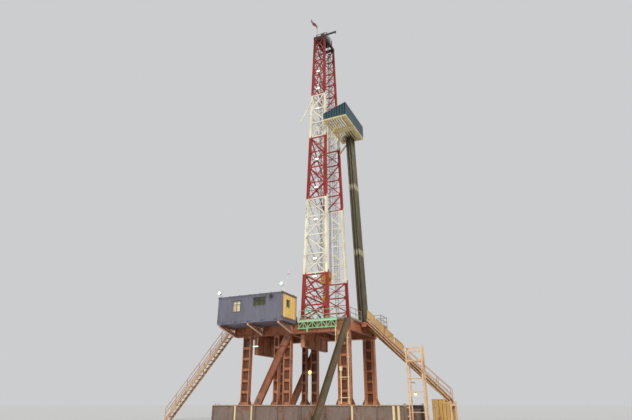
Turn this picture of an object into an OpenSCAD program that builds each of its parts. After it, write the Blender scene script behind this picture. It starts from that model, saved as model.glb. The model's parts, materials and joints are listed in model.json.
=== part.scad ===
// Land drilling rig with an open front lattice mast, as a 1:2 scale model in millimetres.
// X runs from the drawworks end to the V-door, Y from the doghouse side to the far side,
// Z up from the ground, and the well's axis is X = Y = 0.

/* [Mast] */
// Height of the mast from the drill floor to the crown frame
mast_h = 21200; // [19500:100:22400]
// Distance between the front and rear chords at the drill floor
mast_base_depth = 1600; // [1400:10:1800]
// Distance between the front and rear chords at the crown
mast_top_depth = 760; // [700:10:900]
// Distance between the two sides at the drill floor
mast_base_width = 3300; // [3000:10:3600]
// Distance between the two sides at the crown
mast_top_width = 1700; // [1640:10:1900]
// Height of the first, red section
section_1_h = 2900; // [2600:50:3200]
// Height of the second, white section
section_2_h = 5000; // [4700:50:5300]
// Height of the third, red section
section_3_h = 4600; // [4300:50:4900]
// Height of the fourth, white section
section_4_h = 3500; // [3200:50:3800]
// Width of a chord at the drill floor, seen from the side
chord_w = 180; // [150:5:210]
// Width of a chord at the crown, seen from the side
chord_top_w = 124; // [110:2:150]
// Depth of a chord's flanges, across the side panel
chord_t = 170; // [140:5:200]
// Thickness of a chord's flange
flange_t = 22; // [16:1:30]
// Width of the bracing bars
brace_w = 76; // [60:2:90]
// Thickness of the bracing bars
brace_t = 64; // [50:2:80]
// Radius of the pins in the mast's feet
foot_pin_r = 45; // [35:1:55]

/* [Substructure] */
// Height of the drill floor above the ground
floor_h = 5250; // [4900:50:5600]
// Half the width of the substructure, to the outer faces of its girders
frame_half_w = 2200; // [2100:10:2300]
// Height of the base beams
base_h = 850; // [750:10:950]
// Width of the base beams
base_w = 560; // [480:10:640]
// Distance of the base beams' rear end behind the well
base_rear = 6300; // [6000:50:6600]
// Distance of the base beams' front end before the well
base_front = 5100; // [4900:50:5300]
// Height of the floor girders
girder_h = 580; // [500:10:660]
// Width of the floor girders
girder_w = 480; // [440:10:520]
// Height of the front deep cross girder's lower edge above the ground
deep_girder_z = 3900; // [3700:50:4100]
// Height of the rear deep cross girder's lower edge above the ground
rear_girder_z = 3600; // [3400:50:3800]
// Thickness of the floor plates
deck_t = 60; // [40:5:80]
// Distance of the floor's rear edge behind the well
floor_rear = 5100; // [4900:50:5300]
// Distance of the floor's front edge before the well
floor_front = 2400; // [2300:20:2600]
// Depth of a leg across the rig
leg_d = 300; // [260:10:320]
// Thickness of a leg's plates
leg_plate = 36; // [24:2:50]
// Width of the diagonal struts
strut_w = 400; // [340:10:440]
// Thickness of the diagonal struts
strut_t = 200; // [160:5:215]
// Distance of a diagonal strut's foot behind the well
strut_foot = 3350; // [3250:10:3450]
// Distance of a diagonal strut's head behind the well
strut_head = 1440; // [1340:10:1540]

/* [Rotary table] */
// Radius of the hole that the drill string passes through
rotary_bore_r = 175; // [150:5:200]
// Radius of the turning table
rotary_r = 340; // [300:5:380]
// Side of the square opening in the floor for the rotary table
rotary_pit = 900; // [840:10:1000]

/* [Railings] */
// Height of the top rail above the floor
rail_h = 600; // [500:10:650]
// Size of the square tubes in the railings
rail_w = 26; // [20:1:34]
// Height of the toe board
toe_h = 80; // [60:5:100]
// Largest distance between railing posts
post_gap = 900; // [700:50:1100]

/* [Doghouse] */
// Length of the doghouse
doghouse_l = 4260; // [4200:20:4340]
// Distance of the doghouse's front wall behind the well
doghouse_front = 900; // [860:10:980]
// Width of the doghouse
doghouse_w = 1640; // [1540:10:1740]
// Height of the doghouse's walls above its floor
doghouse_h = 1380; // [1320:10:1440]
// Thickness of the doghouse's walls
wall_t = 50; // [40:2:64]
// Depth of the ribs in the wall sheets
rib_d = 16; // [8:1:24]
// Distance from one rib to the next
rib_pitch = 235; // [180:5:300]
// Thickness of the doghouse's floor frame
skid_h = 150; // [120:10:180]
// Width of the door
door_w = 450; // [400:10:500]
// Height of the door
door_h = 1020; // [950:10:1060]

/* [Stairs and ramp] */
// Pitch of the rear stair, in degrees
rear_stair_angle = 49; // [45:1:52]
// Clear width of the stairs
stair_w = 440; // [380:10:500]
// Thickness of the stair stringers
stringer_t = 30; // [20:2:40]
// Depth of the stair stringers
stringer_d = 150; // [120:10:180]
// Height from one tread to the next
riser = 210; // [180:5:240]
// Thickness of a tread
tread_t = 24; // [16:2:32]
// Pitch of the V-door ramp, in degrees
ramp_angle = 45; // [44:0.2:46]
// Width of the V-door ramp
ramp_w = 900; // [860:10:980]
// Length of the sill between the floor and the ramp
sill_l = 290; // [240:10:330]
// Height of the ramp's lower end above the ground
ramp_foot_h = 980; // [920:10:1040]
// Height of the ramp's side plates
ramp_side_h = 160; // [120:10:200]
// Pitch of the escape slide, in degrees
slide_angle = 50.4; // [49:0.2:52]
// Width of the escape slide
slide_w = 300; // [270:10:340]

/* [Racking board] */
// Height of the racking board above the drill floor
board_h = 13350; // [13100:50:13600]
// Distance of the board's front edge before the well
board_front = 2250; // [2150:10:2350]
// Half the width of the board
board_half_w = 1720; // [1680:10:1800]
// Height of the board's wind walls at its front edge
wind_wall_h = 950; // [850:10:1050]
// Height of the side wind walls next to the mast
wind_wall_rear_h = 480; // [420:10:540]
// Distance from one finger to the next
finger_pitch = 170; // [150:5:190]

/* [Pipe] */
// Radius of the drill pipe
pipe_r = 32; // [28:1:36]
// Radius of the tool joints
joint_r = 42; // [38:1:46]
// Length of one joint of pipe
joint_l = 4650; // [4600:10:4700]
// Rows of racked stands across the rig
stand_rows = 7; // [4:1:8]
// Columns of racked stands along the rig
stand_columns = 3; // [2:1:3]

/* [Hoisting gear] */
// Radius of the sheaves
sheave_r = 330; // [310:5:340]
// Width of a sheave
sheave_w = 62; // [50:1:70]
// Radius of the drill line
line_r = 9; // [7:0.5:11]
// Height of the travelling block's axle above the drill floor
block_h = 3100; // [2900:50:4000]

/* [Hidden] */

// Gap left where one piece only rests against another
seat = 0.3;
// Running clearance of a pin in its hole
pin_gap = 0.5;

red = [0.62, 0.12, 0.08];
white = [0.88, 0.87, 0.82];
rust_red = [0.45, 0.17, 0.11];
grey = [0.36, 0.37, 0.4];
green = [0.36, 0.62, 0.42];
steel = [0.5, 0.5, 0.48];

// Mast geometry: sizes at a height h above the drill floor
side_tilt = atan((mast_base_width - mast_top_width) / 2 / mast_h);
back_tilt = atan((mast_base_depth - mast_top_depth) / 2 / mast_h);
section_starts = [
    0,
    section_1_h,
    section_1_h + section_2_h,
    section_1_h + section_2_h + section_3_h,
    section_1_h + section_2_h + section_3_h + section_4_h,
    mast_h
];
section_bays = [3, 4, 4, 3, 5];
section_colours = [red, white, red, white, red];
foot_gap = 60;
shoe_h = 380;
function half_depth(h) = (mast_base_depth + (mast_top_depth - mast_base_depth) * h / mast_h) / 2;
function half_width(h) = (mast_base_width + (mast_top_width - mast_base_width) * h / mast_h) / 2;
function chord_half(h) = (chord_w + (chord_top_w - chord_w) * h / mast_h) / 2;
function side_s(h) = h / cos(side_tilt);
function back_s(h) = h / cos(back_tilt);

// Heights
crown_z = floor_h + mast_h;
girder_top = floor_h - deck_t;
girder_bottom = girder_top - girder_h;
board_z = floor_h + board_h;

// Legs: place along the rig, width, and distance of the outer face from the frame's side
strut_in = 25;
leg_in = strut_t + strut_in + 20;
legs = [[-4170, 500, 0], [-2300, 300, leg_in], [-1600, 440, leg_in], [1940, 720, 0]];
strut_pin_r = 60;

// Places of the cross beams' rear faces along the rig
base_tie_w = 300;
base_ties = [-base_rear + 60, -base_rear + 1900, -base_rear + 3900, base_front - 3450,
             base_front - 60 - base_tie_w];
floor_tie_w = 220;
floor_ties = [-floor_rear + 40, -floor_rear + 1100, -floor_rear + 3200, -rotary_pit / 2 - floor_tie_w,
              rotary_pit / 2, floor_front - 40 - floor_tie_w];
deep_web = 120;

// Places of the doghouse
doghouse_rear_x = -doghouse_front - doghouse_l;
doghouse_far_y = -frame_half_w - 60;
doghouse_near_y = doghouse_far_y - doghouse_w;
doghouse_top = floor_h + doghouse_h;
bracket_places = [doghouse_rear_x + 120, -3110, -doghouse_front - 270];
bracket_t = 90;

// Places of the stairs and the ramp
rear_stair_x = -floor_rear - 150;
rear_stair_y = -frame_half_w + 30;
rear_stair_run = floor_h / tan(rear_stair_angle);
ramp_x = floor_front + sill_l;
ramp_run = (floor_h - ramp_foot_h) / tan(ramp_angle);
ramp_foot_x = ramp_x + ramp_run;
ramp_stair_y = ramp_w / 2 + 40;
ramp_stair_drop = floor_h - ramp_foot_h;
porch_y = ramp_stair_y + stair_w + 2 * stringer_t + 30;
porch_l = 720;
slide_x = floor_front - slide_w / 2;
slide_h = 200;
slide_run = (floor_h - slide_h) / tan(slide_angle);

// Crown and hoisting gear
crown_beam_h = 200;
axle_r = 55;
crown_axle_z = crown_z + crown_beam_h + 230;
block_axle_z = floor_h + block_h;
sheave_pitch = 96;
crown_sheave_count = 5;
block_sheave_count = 4;
groove_r = sheave_r - 26;

// A straight bar of width w between two points of a drawing
module bar(p, q, w) {
    d = q - p;
    translate(p) rotate(atan2(d.y, d.x)) translate([0, -w / 2]) square([norm(d), w]);
}

// A drawing in X and Z made into a plate of thickness t about Y = 0
module along_y(t) rotate([90, 0, 0]) linear_extrude(t, center = true) children();

// A drawing in Y and Z made into a plate of thickness t about X = 0
module along_x(t) rotate([90, 0, 90]) linear_extrude(t, center = true) children();

// A railing seen from the side: posts, two rails and a toe board, from 0 to l
module railing_outline(l, h = rail_h) {
    posts = max(1, ceil(l / post_gap));
    for (i = [0 : posts])
        translate([i * (l - rail_w) / posts, 0]) square([rail_w, h]);
    translate([0, h - rail_w]) square([l, rail_w]);
    translate([0, h / 2]) square([l, rail_w]);
    square([l, toe_h]);
}

// An I-shaped girder with ribs, of length l along X, its lower outer edge at the origin, w wide along Y
module ribbed_girder(l, w, h, flange, web_gap, rib_pitch) {
    ribs = max(2, floor(l / rib_pitch));
    cube([l, w, flange]);
    translate([0, 0, h - flange]) cube([l, w, flange]);
    translate([0, web_gap, 0]) cube([l, w - 2 * web_gap, h]);
    for (i = [0 : ribs])
        translate([i * (l - flange) / ribs, 0, 0]) cube([flange, w, h]);
}

module base_beam() {
    color(grey)
        translate([-base_rear, -frame_half_w, 0])
            ribbed_girder(base_rear + base_front, base_w, base_h, 40, 70, 1420);
}

module near_base_beam() base_beam();

module far_base_beam() mirror([0, 1, 0]) base_beam();

// The beams that tie the two base beams together, clear of the well
module base_cross_beams() {
    beam_w = base_tie_w;
    beam_h = base_h - 200;
    inner = frame_half_w - base_w;
    color(grey)
        for (x = base_ties)
            translate([x, -inner, 0]) difference() {
                cube([beam_w, 2 * inner, beam_h]);
                for (side = [-1, beam_w - 60])
                    translate([side, 0, 40]) cube([61, 2 * inner, beam_h - 80]);
            }
}

// A leg of two plates joined by a middle web and battens; wide legs have a doubled column each side
module leg(w, h) {
    battens = 7;
    batten_h = 150;
    web_t = 24;
    column = w > 600 ? 190 : leg_plate;
    for (side = [-1, 1])
        translate([side * (w - column) / 2 - column / 2, 0, 0]) difference() {
            cube([column, leg_d, h]);
            if (column > leg_plate)
                for (y = [-1, leg_d - 60]) translate([30, y, 200]) cube([column - 60, 61, h - 400]);
        }
    for (y = [40, leg_d - 40 - leg_plate], i = [0 : battens - 1])
        translate([-w / 2, y, i * (h - batten_h) / (battens - 1)]) cube([w, leg_plate, batten_h]);
    translate([-w / 2 + leg_plate / 2, (leg_d - web_t) / 2, 0]) cube([w - leg_plate, web_t, h]);
    for (z = [0, h - leg_plate])
        translate([-w / 2 - 40, 0, z]) cube([w + 80, leg_d, leg_plate]);
    for (side = [-1, 1])
        translate([0, leg_d / 2, 0]) along_y(leg_plate)
            polygon([[side * w / 2, 0], [side * (w / 2 + 170), 0], [side * (w / 2 + 170), 60],
                     [side * w / 2, 420]]);
}

module side_legs() {
    color(rust_red)
        for (p = legs)
            translate([p[0], -frame_half_w + p[2], base_h]) leg(p[1], girder_bottom - base_h);
}

module near_legs() side_legs();

module far_legs() mirror([0, 1, 0]) side_legs();

// The slanting strut of each side, with its foot on the base beam and its head under the girder
module strut_outline() {
    foot = [-strut_foot, base_h];
    head = [-strut_head, girder_bottom];
    lean = atan2(head.y - foot.y, head.x - foot.x);
    half = strut_w / 2 / sin(lean);
    difference() {
        polygon([foot - [half, 0], foot + [half, 0], head + [half, 0], head - [half, 0]]);
        for (k = [0.06, 0.94])
            translate(foot + k * (head - foot)) circle(r = strut_pin_r, $fn = 32);
    }
}

module side_struts() {
    flange = 36;
    color(rust_red)
        for (side = [-1, 1]) translate([0, side * (frame_half_w - strut_in - strut_t / 2), 0]) difference() {
            along_y(strut_t) strut_outline();
            for (y = [-1, 1]) translate([0, y * (strut_t / 2 - 30), 0]) along_y(61) intersection() {
                offset(delta = -flange) strut_outline();
                translate([-strut_foot, base_h + 620]) square([strut_foot, girder_bottom - base_h - 1240]);
            }
        }
}

module floor_girder() {
    color(rust_red)
        translate([-floor_rear, -frame_half_w, girder_bottom])
            ribbed_girder(floor_rear + floor_front, girder_w, girder_h, 34, 60, 1250);
}

module near_floor_girder() floor_girder();

module far_floor_girder() mirror([0, 1, 0]) floor_girder();

module floor_cross_beams() {
    beam_w = floor_tie_w;
    inner = frame_half_w - girder_w;
    color(rust_red)
        for (x = floor_ties)
            translate([x, -inner, girder_bottom + 80]) difference() {
                cube([beam_w, 2 * inner, girder_h - 80]);
                for (side = [-1, beam_w - 70])
                    translate([side, 0, 30]) cube([71, 2 * inner, girder_h - 140]);
            }
}

// Two deep girders across the rig, hung under the cross beams
module deep_cross_girders() {
    web = deep_web;
    plate = 40;
    inner = frame_half_w - girder_w - 60;
    top = girder_bottom + 80;
    color(rust_red)
        for (p = [[floor_ties[1] + 50, rear_girder_z], [floor_ties[3] + 20 - 2 * web, deep_girder_z]])
            translate([p[0], -inner, p[1]]) difference() {
                cube([2 * web, 2 * inner, top - p[1]]);
                for (side = [-1, 2 * web - 69], y = [0 : 3])
                    translate([side, plate + y * (2 * inner - plate) / 4, plate])
                        cube([70, (2 * inner - plate) / 4 - plate, top - p[1] - 2 * plate]);
            }
}

// The floor in four plates around the rotary table's opening
module drill_floor() {
    pit = rotary_pit / 2;
    color(steel) {
        translate([-floor_rear, -frame_half_w, girder_top])
            cube([floor_rear - pit - seat, 2 * frame_half_w, deck_t]);
        translate([pit + seat, -frame_half_w, girder_top])
            cube([floor_front - pit - seat, 2 * frame_half_w, deck_t]);
        for (side = [0, 1]) mirror([0, side, 0])
            translate([-pit, pit, girder_top]) cube([2 * pit, frame_half_w - pit, deck_t]);
    }
}

// The sill before the V-door, the rear stair's landing, and the porch at the front far corner
module floor_landings() {
    beam_h = 200;
    color(rust_red) {
        translate([floor_front + seat, -ramp_w / 2, floor_h - deck_t])
            cube([sill_l - seat, ramp_w, deck_t]);
        for (y = [-ramp_w / 2, ramp_w / 2 - 60])
            translate([floor_front + seat, y, floor_h - deck_t - beam_h])
                cube([sill_l - seat, 60, beam_h + 1]);
        translate([floor_front + seat, porch_y, floor_h - deck_t])
            cube([porch_l, frame_half_w - porch_y, deck_t]);
        for (y = [porch_y, frame_half_w - 80])
            translate([floor_front + seat, y, floor_h - deck_t - 2 * beam_h])
                cube([porch_l, 80, 2 * beam_h + 1]);
        translate([floor_front + porch_l - 80, porch_y, floor_h - deck_t - 2 * beam_h])
            cube([80 + seat, frame_half_w - porch_y, 2 * beam_h + 1]);
        translate([-floor_rear - 150, rear_stair_y, floor_h - deck_t])
            cube([150 - seat, stair_w + 2 * stringer_t, deck_t]);
        translate([-floor_rear - 90, rear_stair_y, floor_h - deck_t - 120])
            cube([90 - seat, stair_w + 2 * stringer_t, 121]);
    }
}

// A square housing hung in the floor's opening, with the turning table and its square drive recess
module rotary_table() {
    pit = rotary_pit / 2;
    body_h = 330;
    color(steel) difference() {
        union() {
            translate([-pit + seat, -pit + seat, floor_h - body_h])
                cube([2 * (pit - seat), 2 * (pit - seat), body_h]);
            translate([0, 0, floor_h - 1]) cylinder(r = rotary_r, h = 46, $fn = 64);
        }
        translate([0, 0, floor_h - body_h - 1]) cylinder(r = rotary_bore_r, h = body_h + 60, $fn = 64);
        for (a = [0 : 45 : 315])
            rotate(a) translate([(rotary_r + rotary_bore_r) / 2, 0, floor_h + 20])
                cylinder(r = 22, h = 40, $fn = 24);
    }
}

// Shallow truss along the near edge of the floor, under the green railing
fascia_rear = -doghouse_front + 150;
fascia_l = 1580 - fascia_rear;
fascia_h = 430;

module near_fascia() {
    bays = 8;
    bay = fascia_l / bays;
    fascia_t = 70;
    bottom = -fascia_h;
    color(green)
        translate([fascia_rear, -frame_half_w - fascia_t / 2, floor_h]) along_y(fascia_t) {
            translate([0, -70]) square([fascia_l, 70]);
            translate([0, bottom]) square([fascia_l, 60]);
            for (i = [0 : bays]) translate([i * (fascia_l - 36) / bays, bottom]) square([36, fascia_h]);
            for (i = [0 : bays - 1])
                if (i % 2 == 0) bar([i * bay, bottom + 30], [(i + 1) * bay, -35], 44);
                else bar([i * bay, -35], [(i + 1) * bay, bottom + 30], 44);
        }
}

module near_railing() {
    color(green)
        translate([fascia_rear, -frame_half_w - 35, floor_h])
            along_y(rail_w) railing_outline(fascia_l);
}

// Railings in separate runs on the far, front and rear edges and on the porch
module floor_railings() {
    edge = rail_w / 2;
    stair_side = rear_stair_y + stair_w + 2 * stringer_t;
    near_start = fascia_rear + fascia_l + 1;
    front = floor_front + porch_l;
    color(steel) {
        translate([-floor_rear, frame_half_w - edge, floor_h])
            along_y(rail_w) railing_outline(floor_rear + front);
        translate([floor_front - edge, -frame_half_w, floor_h]) along_x(rail_w)
            railing_outline(frame_half_w - ramp_w / 2 - 2 * seat);
        translate([front - edge, porch_y, floor_h]) along_x(rail_w)
            railing_outline(frame_half_w - rail_w - seat - porch_y);
        translate([-floor_rear + edge, stair_side, floor_h])
            along_x(rail_w) railing_outline(frame_half_w - rail_w - seat - stair_side);
        translate([near_start, -frame_half_w + edge, floor_h]) along_y(rail_w)
            railing_outline(slide_x - slide_w / 2 - near_start - 1);
        translate([floor_front + seat, porch_y + edge, floor_h]) along_y(rail_w)
            railing_outline(porch_l - rail_w - 2 * seat);
    }
}

// Three brackets that carry the doghouse out from the near girder
module doghouse_brackets() {
    reach = doghouse_near_y + 40;
    top = floor_h - skid_h;
    low = girder_bottom;
    foot = -frame_half_w - 45;
    color(rust_red)
        for (x = bracket_places)
            translate([x, 0, 0]) along_x(bracket_t) {
                bar([reach, top - 45], [-frame_half_w, top - 45], 90);
                difference() {
                    bar([reach + 40, top - 45], [foot, low + 60], 80);
                    translate([-frame_half_w, low - 200]) square([400, 600]);
                }
                translate([-frame_half_w - 90, low]) square([90, top - low]);
                bar([(reach + foot) / 2 - 120, top - 45], [foot, top - 330], 56);
                bar([(reach + foot) / 2 - 120, top - 45], [(reach + foot) / 2 + 40, (top + low) / 2 + 40], 56);
            }
}

module doghouse_skid() {
    color(grey) translate([doghouse_rear_x, doghouse_near_y, floor_h - skid_h]) difference() {
        cube([doghouse_l, doghouse_w, skid_h]);
        for (x = [0.1 : 0.2 : 0.9])
            translate([x * doghouse_l - 120, -1, 45]) cube([240, 41, skid_h - 90]);
    }
}

// The plan of a ribbed wall sheet of length l, with its plain face on Y = 0 and its ribs towards -Y
module rib_plan(l) {
    ribs = floor(l / rib_pitch);
    pitch = l / ribs;
    flat = pitch * 0.34;
    slope = rib_d;
    outer = -wall_t;
    polygon(concat(
        [[0, 0]],
        [for (i = [0 : ribs - 1], k = [0 : 3])
            [i * pitch + [0, flat, flat + slope, pitch - slope][k], outer + [0, 0, rib_d, rib_d][k]]],
        [[l, outer], [l, 0]]
    ));
}

module wall_sheet(l) linear_extrude(doghouse_h) rib_plan(l);

// A window hole through a wall on Y = 0, seen from outside, with its frame left standing
module window_hole(x, z, w, h) translate([x, -wall_t - 10, z]) cube([w, wall_t + 20, h]);

module window_frame(x, z, w, h) {
    frame_w = 30;
    translate([x - frame_w, -wall_t - 8, z - frame_w]) difference() {
        cube([w + 2 * frame_w, wall_t + 8, h + 2 * frame_w]);
        translate([frame_w, -1, frame_w]) cube([w, wall_t + 10, h]);
    }
}

// Windows of the near wall: distance from the rear end, height above the floor, width, height
near_windows = [[1040, 540, 470, 560], [2380, 770, 780, 430]];
end_window = [380, 640, 420, 420];

module doghouse_near_wall() {
    color(grey) translate([doghouse_rear_x, doghouse_near_y + wall_t, floor_h]) {
        difference() {
            wall_sheet(doghouse_l);
            for (w = near_windows) window_hole(w[0], w[1], w[2], w[3]);
        }
        for (w = near_windows) window_frame(w[0], w[1], w[2], w[3]);
    }
}

// The far wall, split beside and over the doorway to the drill floor
door_x = -doghouse_front - 1080;

module doghouse_far_wall() {
    rear_l = door_x - doghouse_rear_x;
    front_l = -doghouse_front - door_x - door_w;
    color(grey) translate([0, doghouse_far_y - wall_t, floor_h]) {
        translate([door_x, 0, 0]) mirror([1, 0, 0]) mirror([0, 1, 0]) wall_sheet(rear_l);
        translate([door_x + door_w, 0, 0]) mirror([0, 1, 0]) wall_sheet(front_l);
        translate([door_x + seat, 0, door_h]) cube([door_w - 2 * seat, wall_t, doghouse_h - door_h]);
    }
}

module doghouse_end_walls() {
    inner = doghouse_w - 2 * wall_t;
    color([0.62, 0.55, 0.36]) {
        translate([-doghouse_front - wall_t, doghouse_near_y + wall_t, floor_h]) rotate(90) difference() {
            union() {
                wall_sheet(inner);
                window_frame(end_window[0], end_window[1], end_window[2], end_window[3]);
            }
            window_hole(end_window[0], end_window[1], end_window[2], end_window[3]);
        }
        translate([doghouse_rear_x + wall_t, doghouse_far_y - wall_t, floor_h]) rotate(-90)
            wall_sheet(inner);
    }
}

module doghouse_roof() {
    lip = 30;
    color(grey) translate([doghouse_rear_x - lip, doghouse_near_y - lip, doghouse_top]) {
        cube([doghouse_l + 2 * lip, doghouse_w + 2 * lip, 40]);
        for (i = [0 : 6])
            translate([60 + i * (doghouse_l + 2 * lip - 180) / 6, 0, 40])
                cube([60, doghouse_w + 2 * lip, 24]);
    }
}

// The door leaf, latched open flat against the far wall
module doghouse_door() {
    leaf_t = 36;
    color(grey) translate([door_x + door_w + 20, doghouse_far_y + seat, floor_h + 12]) difference() {
        union() {
            cube([door_w - 10, leaf_t, door_h - 24]);
            translate([door_w - 90, leaf_t, 460]) cube([50, 16, 60]);
        }
        translate([110, -1, 620]) cube([door_w - 230, leaf_t + 2, 260]);
    }
}

module doghouse_glass() {
    glass_t = 8;
    color([0.7, 0.62, 0.4, 0.5]) {
        for (w = near_windows)
            translate([doghouse_rear_x + w[0] + seat, doghouse_near_y + wall_t / 2, floor_h + w[1] + seat])
                cube([w[2] - 2 * seat, glass_t, w[3] - 2 * seat]);
        translate([-doghouse_front - wall_t / 2, doghouse_near_y + wall_t + end_window[0] + seat,
                   floor_h + end_window[1] + seat])
            cube([glass_t, end_window[2] - 2 * seat, end_window[3] - 2 * seat]);
    }
}

// One side of a stair going down towards +X from [0, 0]: stringer, posts and rails
module stair_side_outline(drop, run, h = rail_h) {
    slope = [run, -drop];
    posts = ceil(norm(slope) / (post_gap * 1.3));
    down = stringer_d / cos(atan2(drop, run));
    polygon([[0, 0], [run, -drop], [run - down * run / drop, -drop], [0, -down]]);
    for (i = [0 : posts]) {
        k = min(0.985, max(0.006, i / posts));
        translate([k * run - rail_w / 2, -k * drop - 20]) square([rail_w, h + 20]);
    }
    for (z = [h - rail_w / 2, h / 2])
        bar([0.006 * run, z - 0.006 * drop], [0.985 * run, z - 0.985 * drop], rail_w);
}

module stair_sides(drop, run) {
    for (y = [stringer_t / 2, stair_w + 3 * stringer_t / 2])
        translate([0, y, 0]) along_y(stringer_t) stair_side_outline(drop, run);
}

// Treads between the stringers, which start at Y = 0
module stair_treads(drop, run, depth) {
    count = ceil(drop / riser) - 1;
    step = drop / (count + 1);
    for (i = [1 : count])
        translate([i * step * run / drop - depth, stringer_t, -i * step - tread_t])
            cube([depth, stair_w, tread_t]);
}

module rear_stair_sides() {
    color([0.6, 0.48, 0.3])
        translate([rear_stair_x - seat, rear_stair_y, floor_h]) mirror([1, 0, 0])
            stair_sides(floor_h, rear_stair_run);
}

module rear_stair_treads() {
    color(steel)
        translate([rear_stair_x - seat, rear_stair_y, floor_h]) mirror([1, 0, 0])
            stair_treads(floor_h, rear_stair_run, 150);
}

// The V-door ramp: a bed between raised side plates, from the sill down to its foot stand
ramp_plate = 40;
ramp_side_t = 50;

module ramp_outline(top, bottom, run = ramp_run) {
    drop = run * tan(ramp_angle);
    polygon([[0, top], [run, top - drop], [run, bottom - drop], [0, bottom]]);
}

module v_door_ramp() {
    color([0.4, 0.3, 0.22]) translate([ramp_x + seat, 0, floor_h]) {
        along_y(ramp_w) ramp_outline(0, -ramp_plate);
        for (side = [-1, 1])
            translate([0, side * (ramp_w - ramp_side_t) / 2, 0])
                along_y(ramp_side_t) ramp_outline(ramp_side_h, -ramp_plate - 30);
        for (y = [-0.2, 0.2])
            translate([0, y * ramp_w, 0]) along_y(50) ramp_outline(0, -130, ramp_run - 140);
    }
}

// The stand that carries the feet of the ramp and its stair: posts, cross heads and slatted screens
stand_post = 70;

module ramp_foot_stand() {
    screen_l = 900;
    screen_h = 1130;
    slat = 150;
    slats = 5;
    far_y = ramp_stair_y + stair_w + 2 * stringer_t;
    head = ramp_foot_h - (ramp_plate + 30) - seat;
    color([0.75, 0.5, 0.22]) {
        for (y = [-ramp_w / 2 - stand_post / 2 - seat, far_y + stand_post / 2 + seat])
            translate([ramp_foot_x, y, 0]) along_y(stand_post) {
                translate([-stand_post + 60, 0]) square([stand_post, ramp_foot_h + ramp_side_h * 0.4]);
                for (i = [0 : slats - 1])
                    translate([-screen_l + i * (screen_l - slat - 40) / (slats - 1), 0])
                        square([slat, screen_h - (i == slats - 1 ? 130 : 0)]);
                for (z = [60, screen_h - 200])
                    translate([-screen_l, z]) square([screen_l + 20, 70]);
            }
        for (z = [60, head - 100], x = [-stand_post + 60, -screen_l])
            if (z < 100 || x > -100)
                translate([ramp_foot_x + x, -ramp_w / 2, z])
                    cube([stand_post, far_y + ramp_w / 2, 100]);
        translate([ramp_foot_x - 150, ramp_stair_y, head - 20])
            cube([210, far_y - ramp_stair_y, 20 + ramp_plate + 30]);
    }
}

module ramp_stair_sides() {
    color([0.6, 0.42, 0.26]) translate([floor_front + seat, ramp_stair_y, floor_h])
        stair_sides(ramp_stair_drop, ramp_run + sill_l - 20);
}

module ramp_stair_treads() {
    color(steel) translate([floor_front + seat, ramp_stair_y, floor_h])
        stair_treads(ramp_stair_drop, ramp_run + sill_l - 20, 170);
}

// Sheet panels laced to the upper bays of the stair's near rail
module ramp_stair_panels() {
    panel_t = 12;
    panel_l = 440;
    panel_h = 760;
    panel_low = 150;
    gap = 90;
    drop = ramp_stair_drop / (ramp_run + sill_l - 20);
    color([0.66, 0.52, 0.36])
        for (i = [0 : 3]) {
            a = 60 + i * (panel_l + gap);
            b = a + panel_l;
            h = panel_h - i * 60;
            translate([floor_front, ramp_stair_y - panel_t / 2 - seat, floor_h + panel_low]) along_y(panel_t)
                polygon([[a, -a * drop], [b, -b * drop], [b, h - b * drop], [a, h - a * drop]]);
        }
}

// The narrow service tower beside the ramp: two flat frames, ties, deck, rails and a ladder
tower_x = 5180;
tower_y = -1800;
tower_l = 840;
tower_w = 600;
tower_deck = 3000;
tower_post = 64;
tower_top = tower_deck + rail_h;

module tower_frame() {
    for (x = [0, tower_l - tower_post]) translate([x, 0]) square([tower_post, tower_top]);
    for (z = [500, 1450, 2080, tower_deck - 100, tower_deck + rail_h - 200, tower_top - 30])
        translate([0, z]) square([tower_l, z > 2900 && z < 3000 ? 80 : 30]);
}

module service_tower() {
    inner = tower_w - 2 * tower_post - 2 * seat;
    color([0.6, 0.42, 0.26]) translate([tower_x, tower_y, 0]) {
        for (y = [tower_post / 2, tower_w - tower_post / 2])
            translate([0, y, 0]) along_y(tower_post) tower_frame();
        for (x = [0, tower_l - 40], z = [500, 2080, tower_deck - 70])
            translate([x, tower_post + seat, z]) cube([40, inner, 30]);
        translate([0, tower_post + seat, tower_top - 30]) cube([40, inner, 30]);
        translate([40 + seat, tower_post + seat, tower_deck - 60]) cube([tower_l - 80 - 2 * seat, inner, 40]);
        for (z = [300, 700])
            translate([base_front - tower_x + seat, 0, z])
                cube([tower_x - base_front - 2 * seat, tower_post, tower_post]);
        translate([0, tower_w + seat, 1900])
            cube([tower_post, -tower_y - tower_w - ramp_w / 2 - 2 * seat, 60]);
        translate([tower_l + seat, tower_w / 2, 0]) {
            for (y = [-150, 126]) translate([0, y, 0]) cube([24, 24, tower_top + 150]);
            for (z = [150 : 150 : tower_deck]) translate([4, -150, z]) cube([16, 300, 16]);
        }
    }
}

// The escape slide: a trough from the floor's near edge down to a short flat end on feet
slide_side_h = 200;
slide_plate = 20;
slide_end = 250;

module escape_slide() {
    low = -slide_run;
    far = low - slide_end;
    deep = 60;
    color([0.3, 0.31, 0.27]) translate([slide_x, -frame_half_w - seat, 0]) {
        along_x(slide_w) polygon([
            [0, floor_h], [low, slide_h], [far, slide_h], [far, slide_h - slide_plate],
            [low + slide_plate / 2, slide_h - slide_plate], [0, floor_h - slide_plate / cos(slide_angle)]
        ]);
        for (side = [-1, 1])
            translate([side * (slide_w - slide_plate) / 2, 0, 0]) along_x(slide_plate) polygon([
                [0, floor_h + slide_side_h], [low, slide_h + slide_side_h], [far, slide_h + slide_side_h],
                [far, 0], [far + deep, 0], [far + deep, slide_h - deep], [low - deep, slide_h - deep],
                [low - deep, 0], [low + deep / 2, 0], [low + deep / 2, slide_h - deep],
                [0, floor_h - 2 * deep]
            ]);
    }
}

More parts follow.
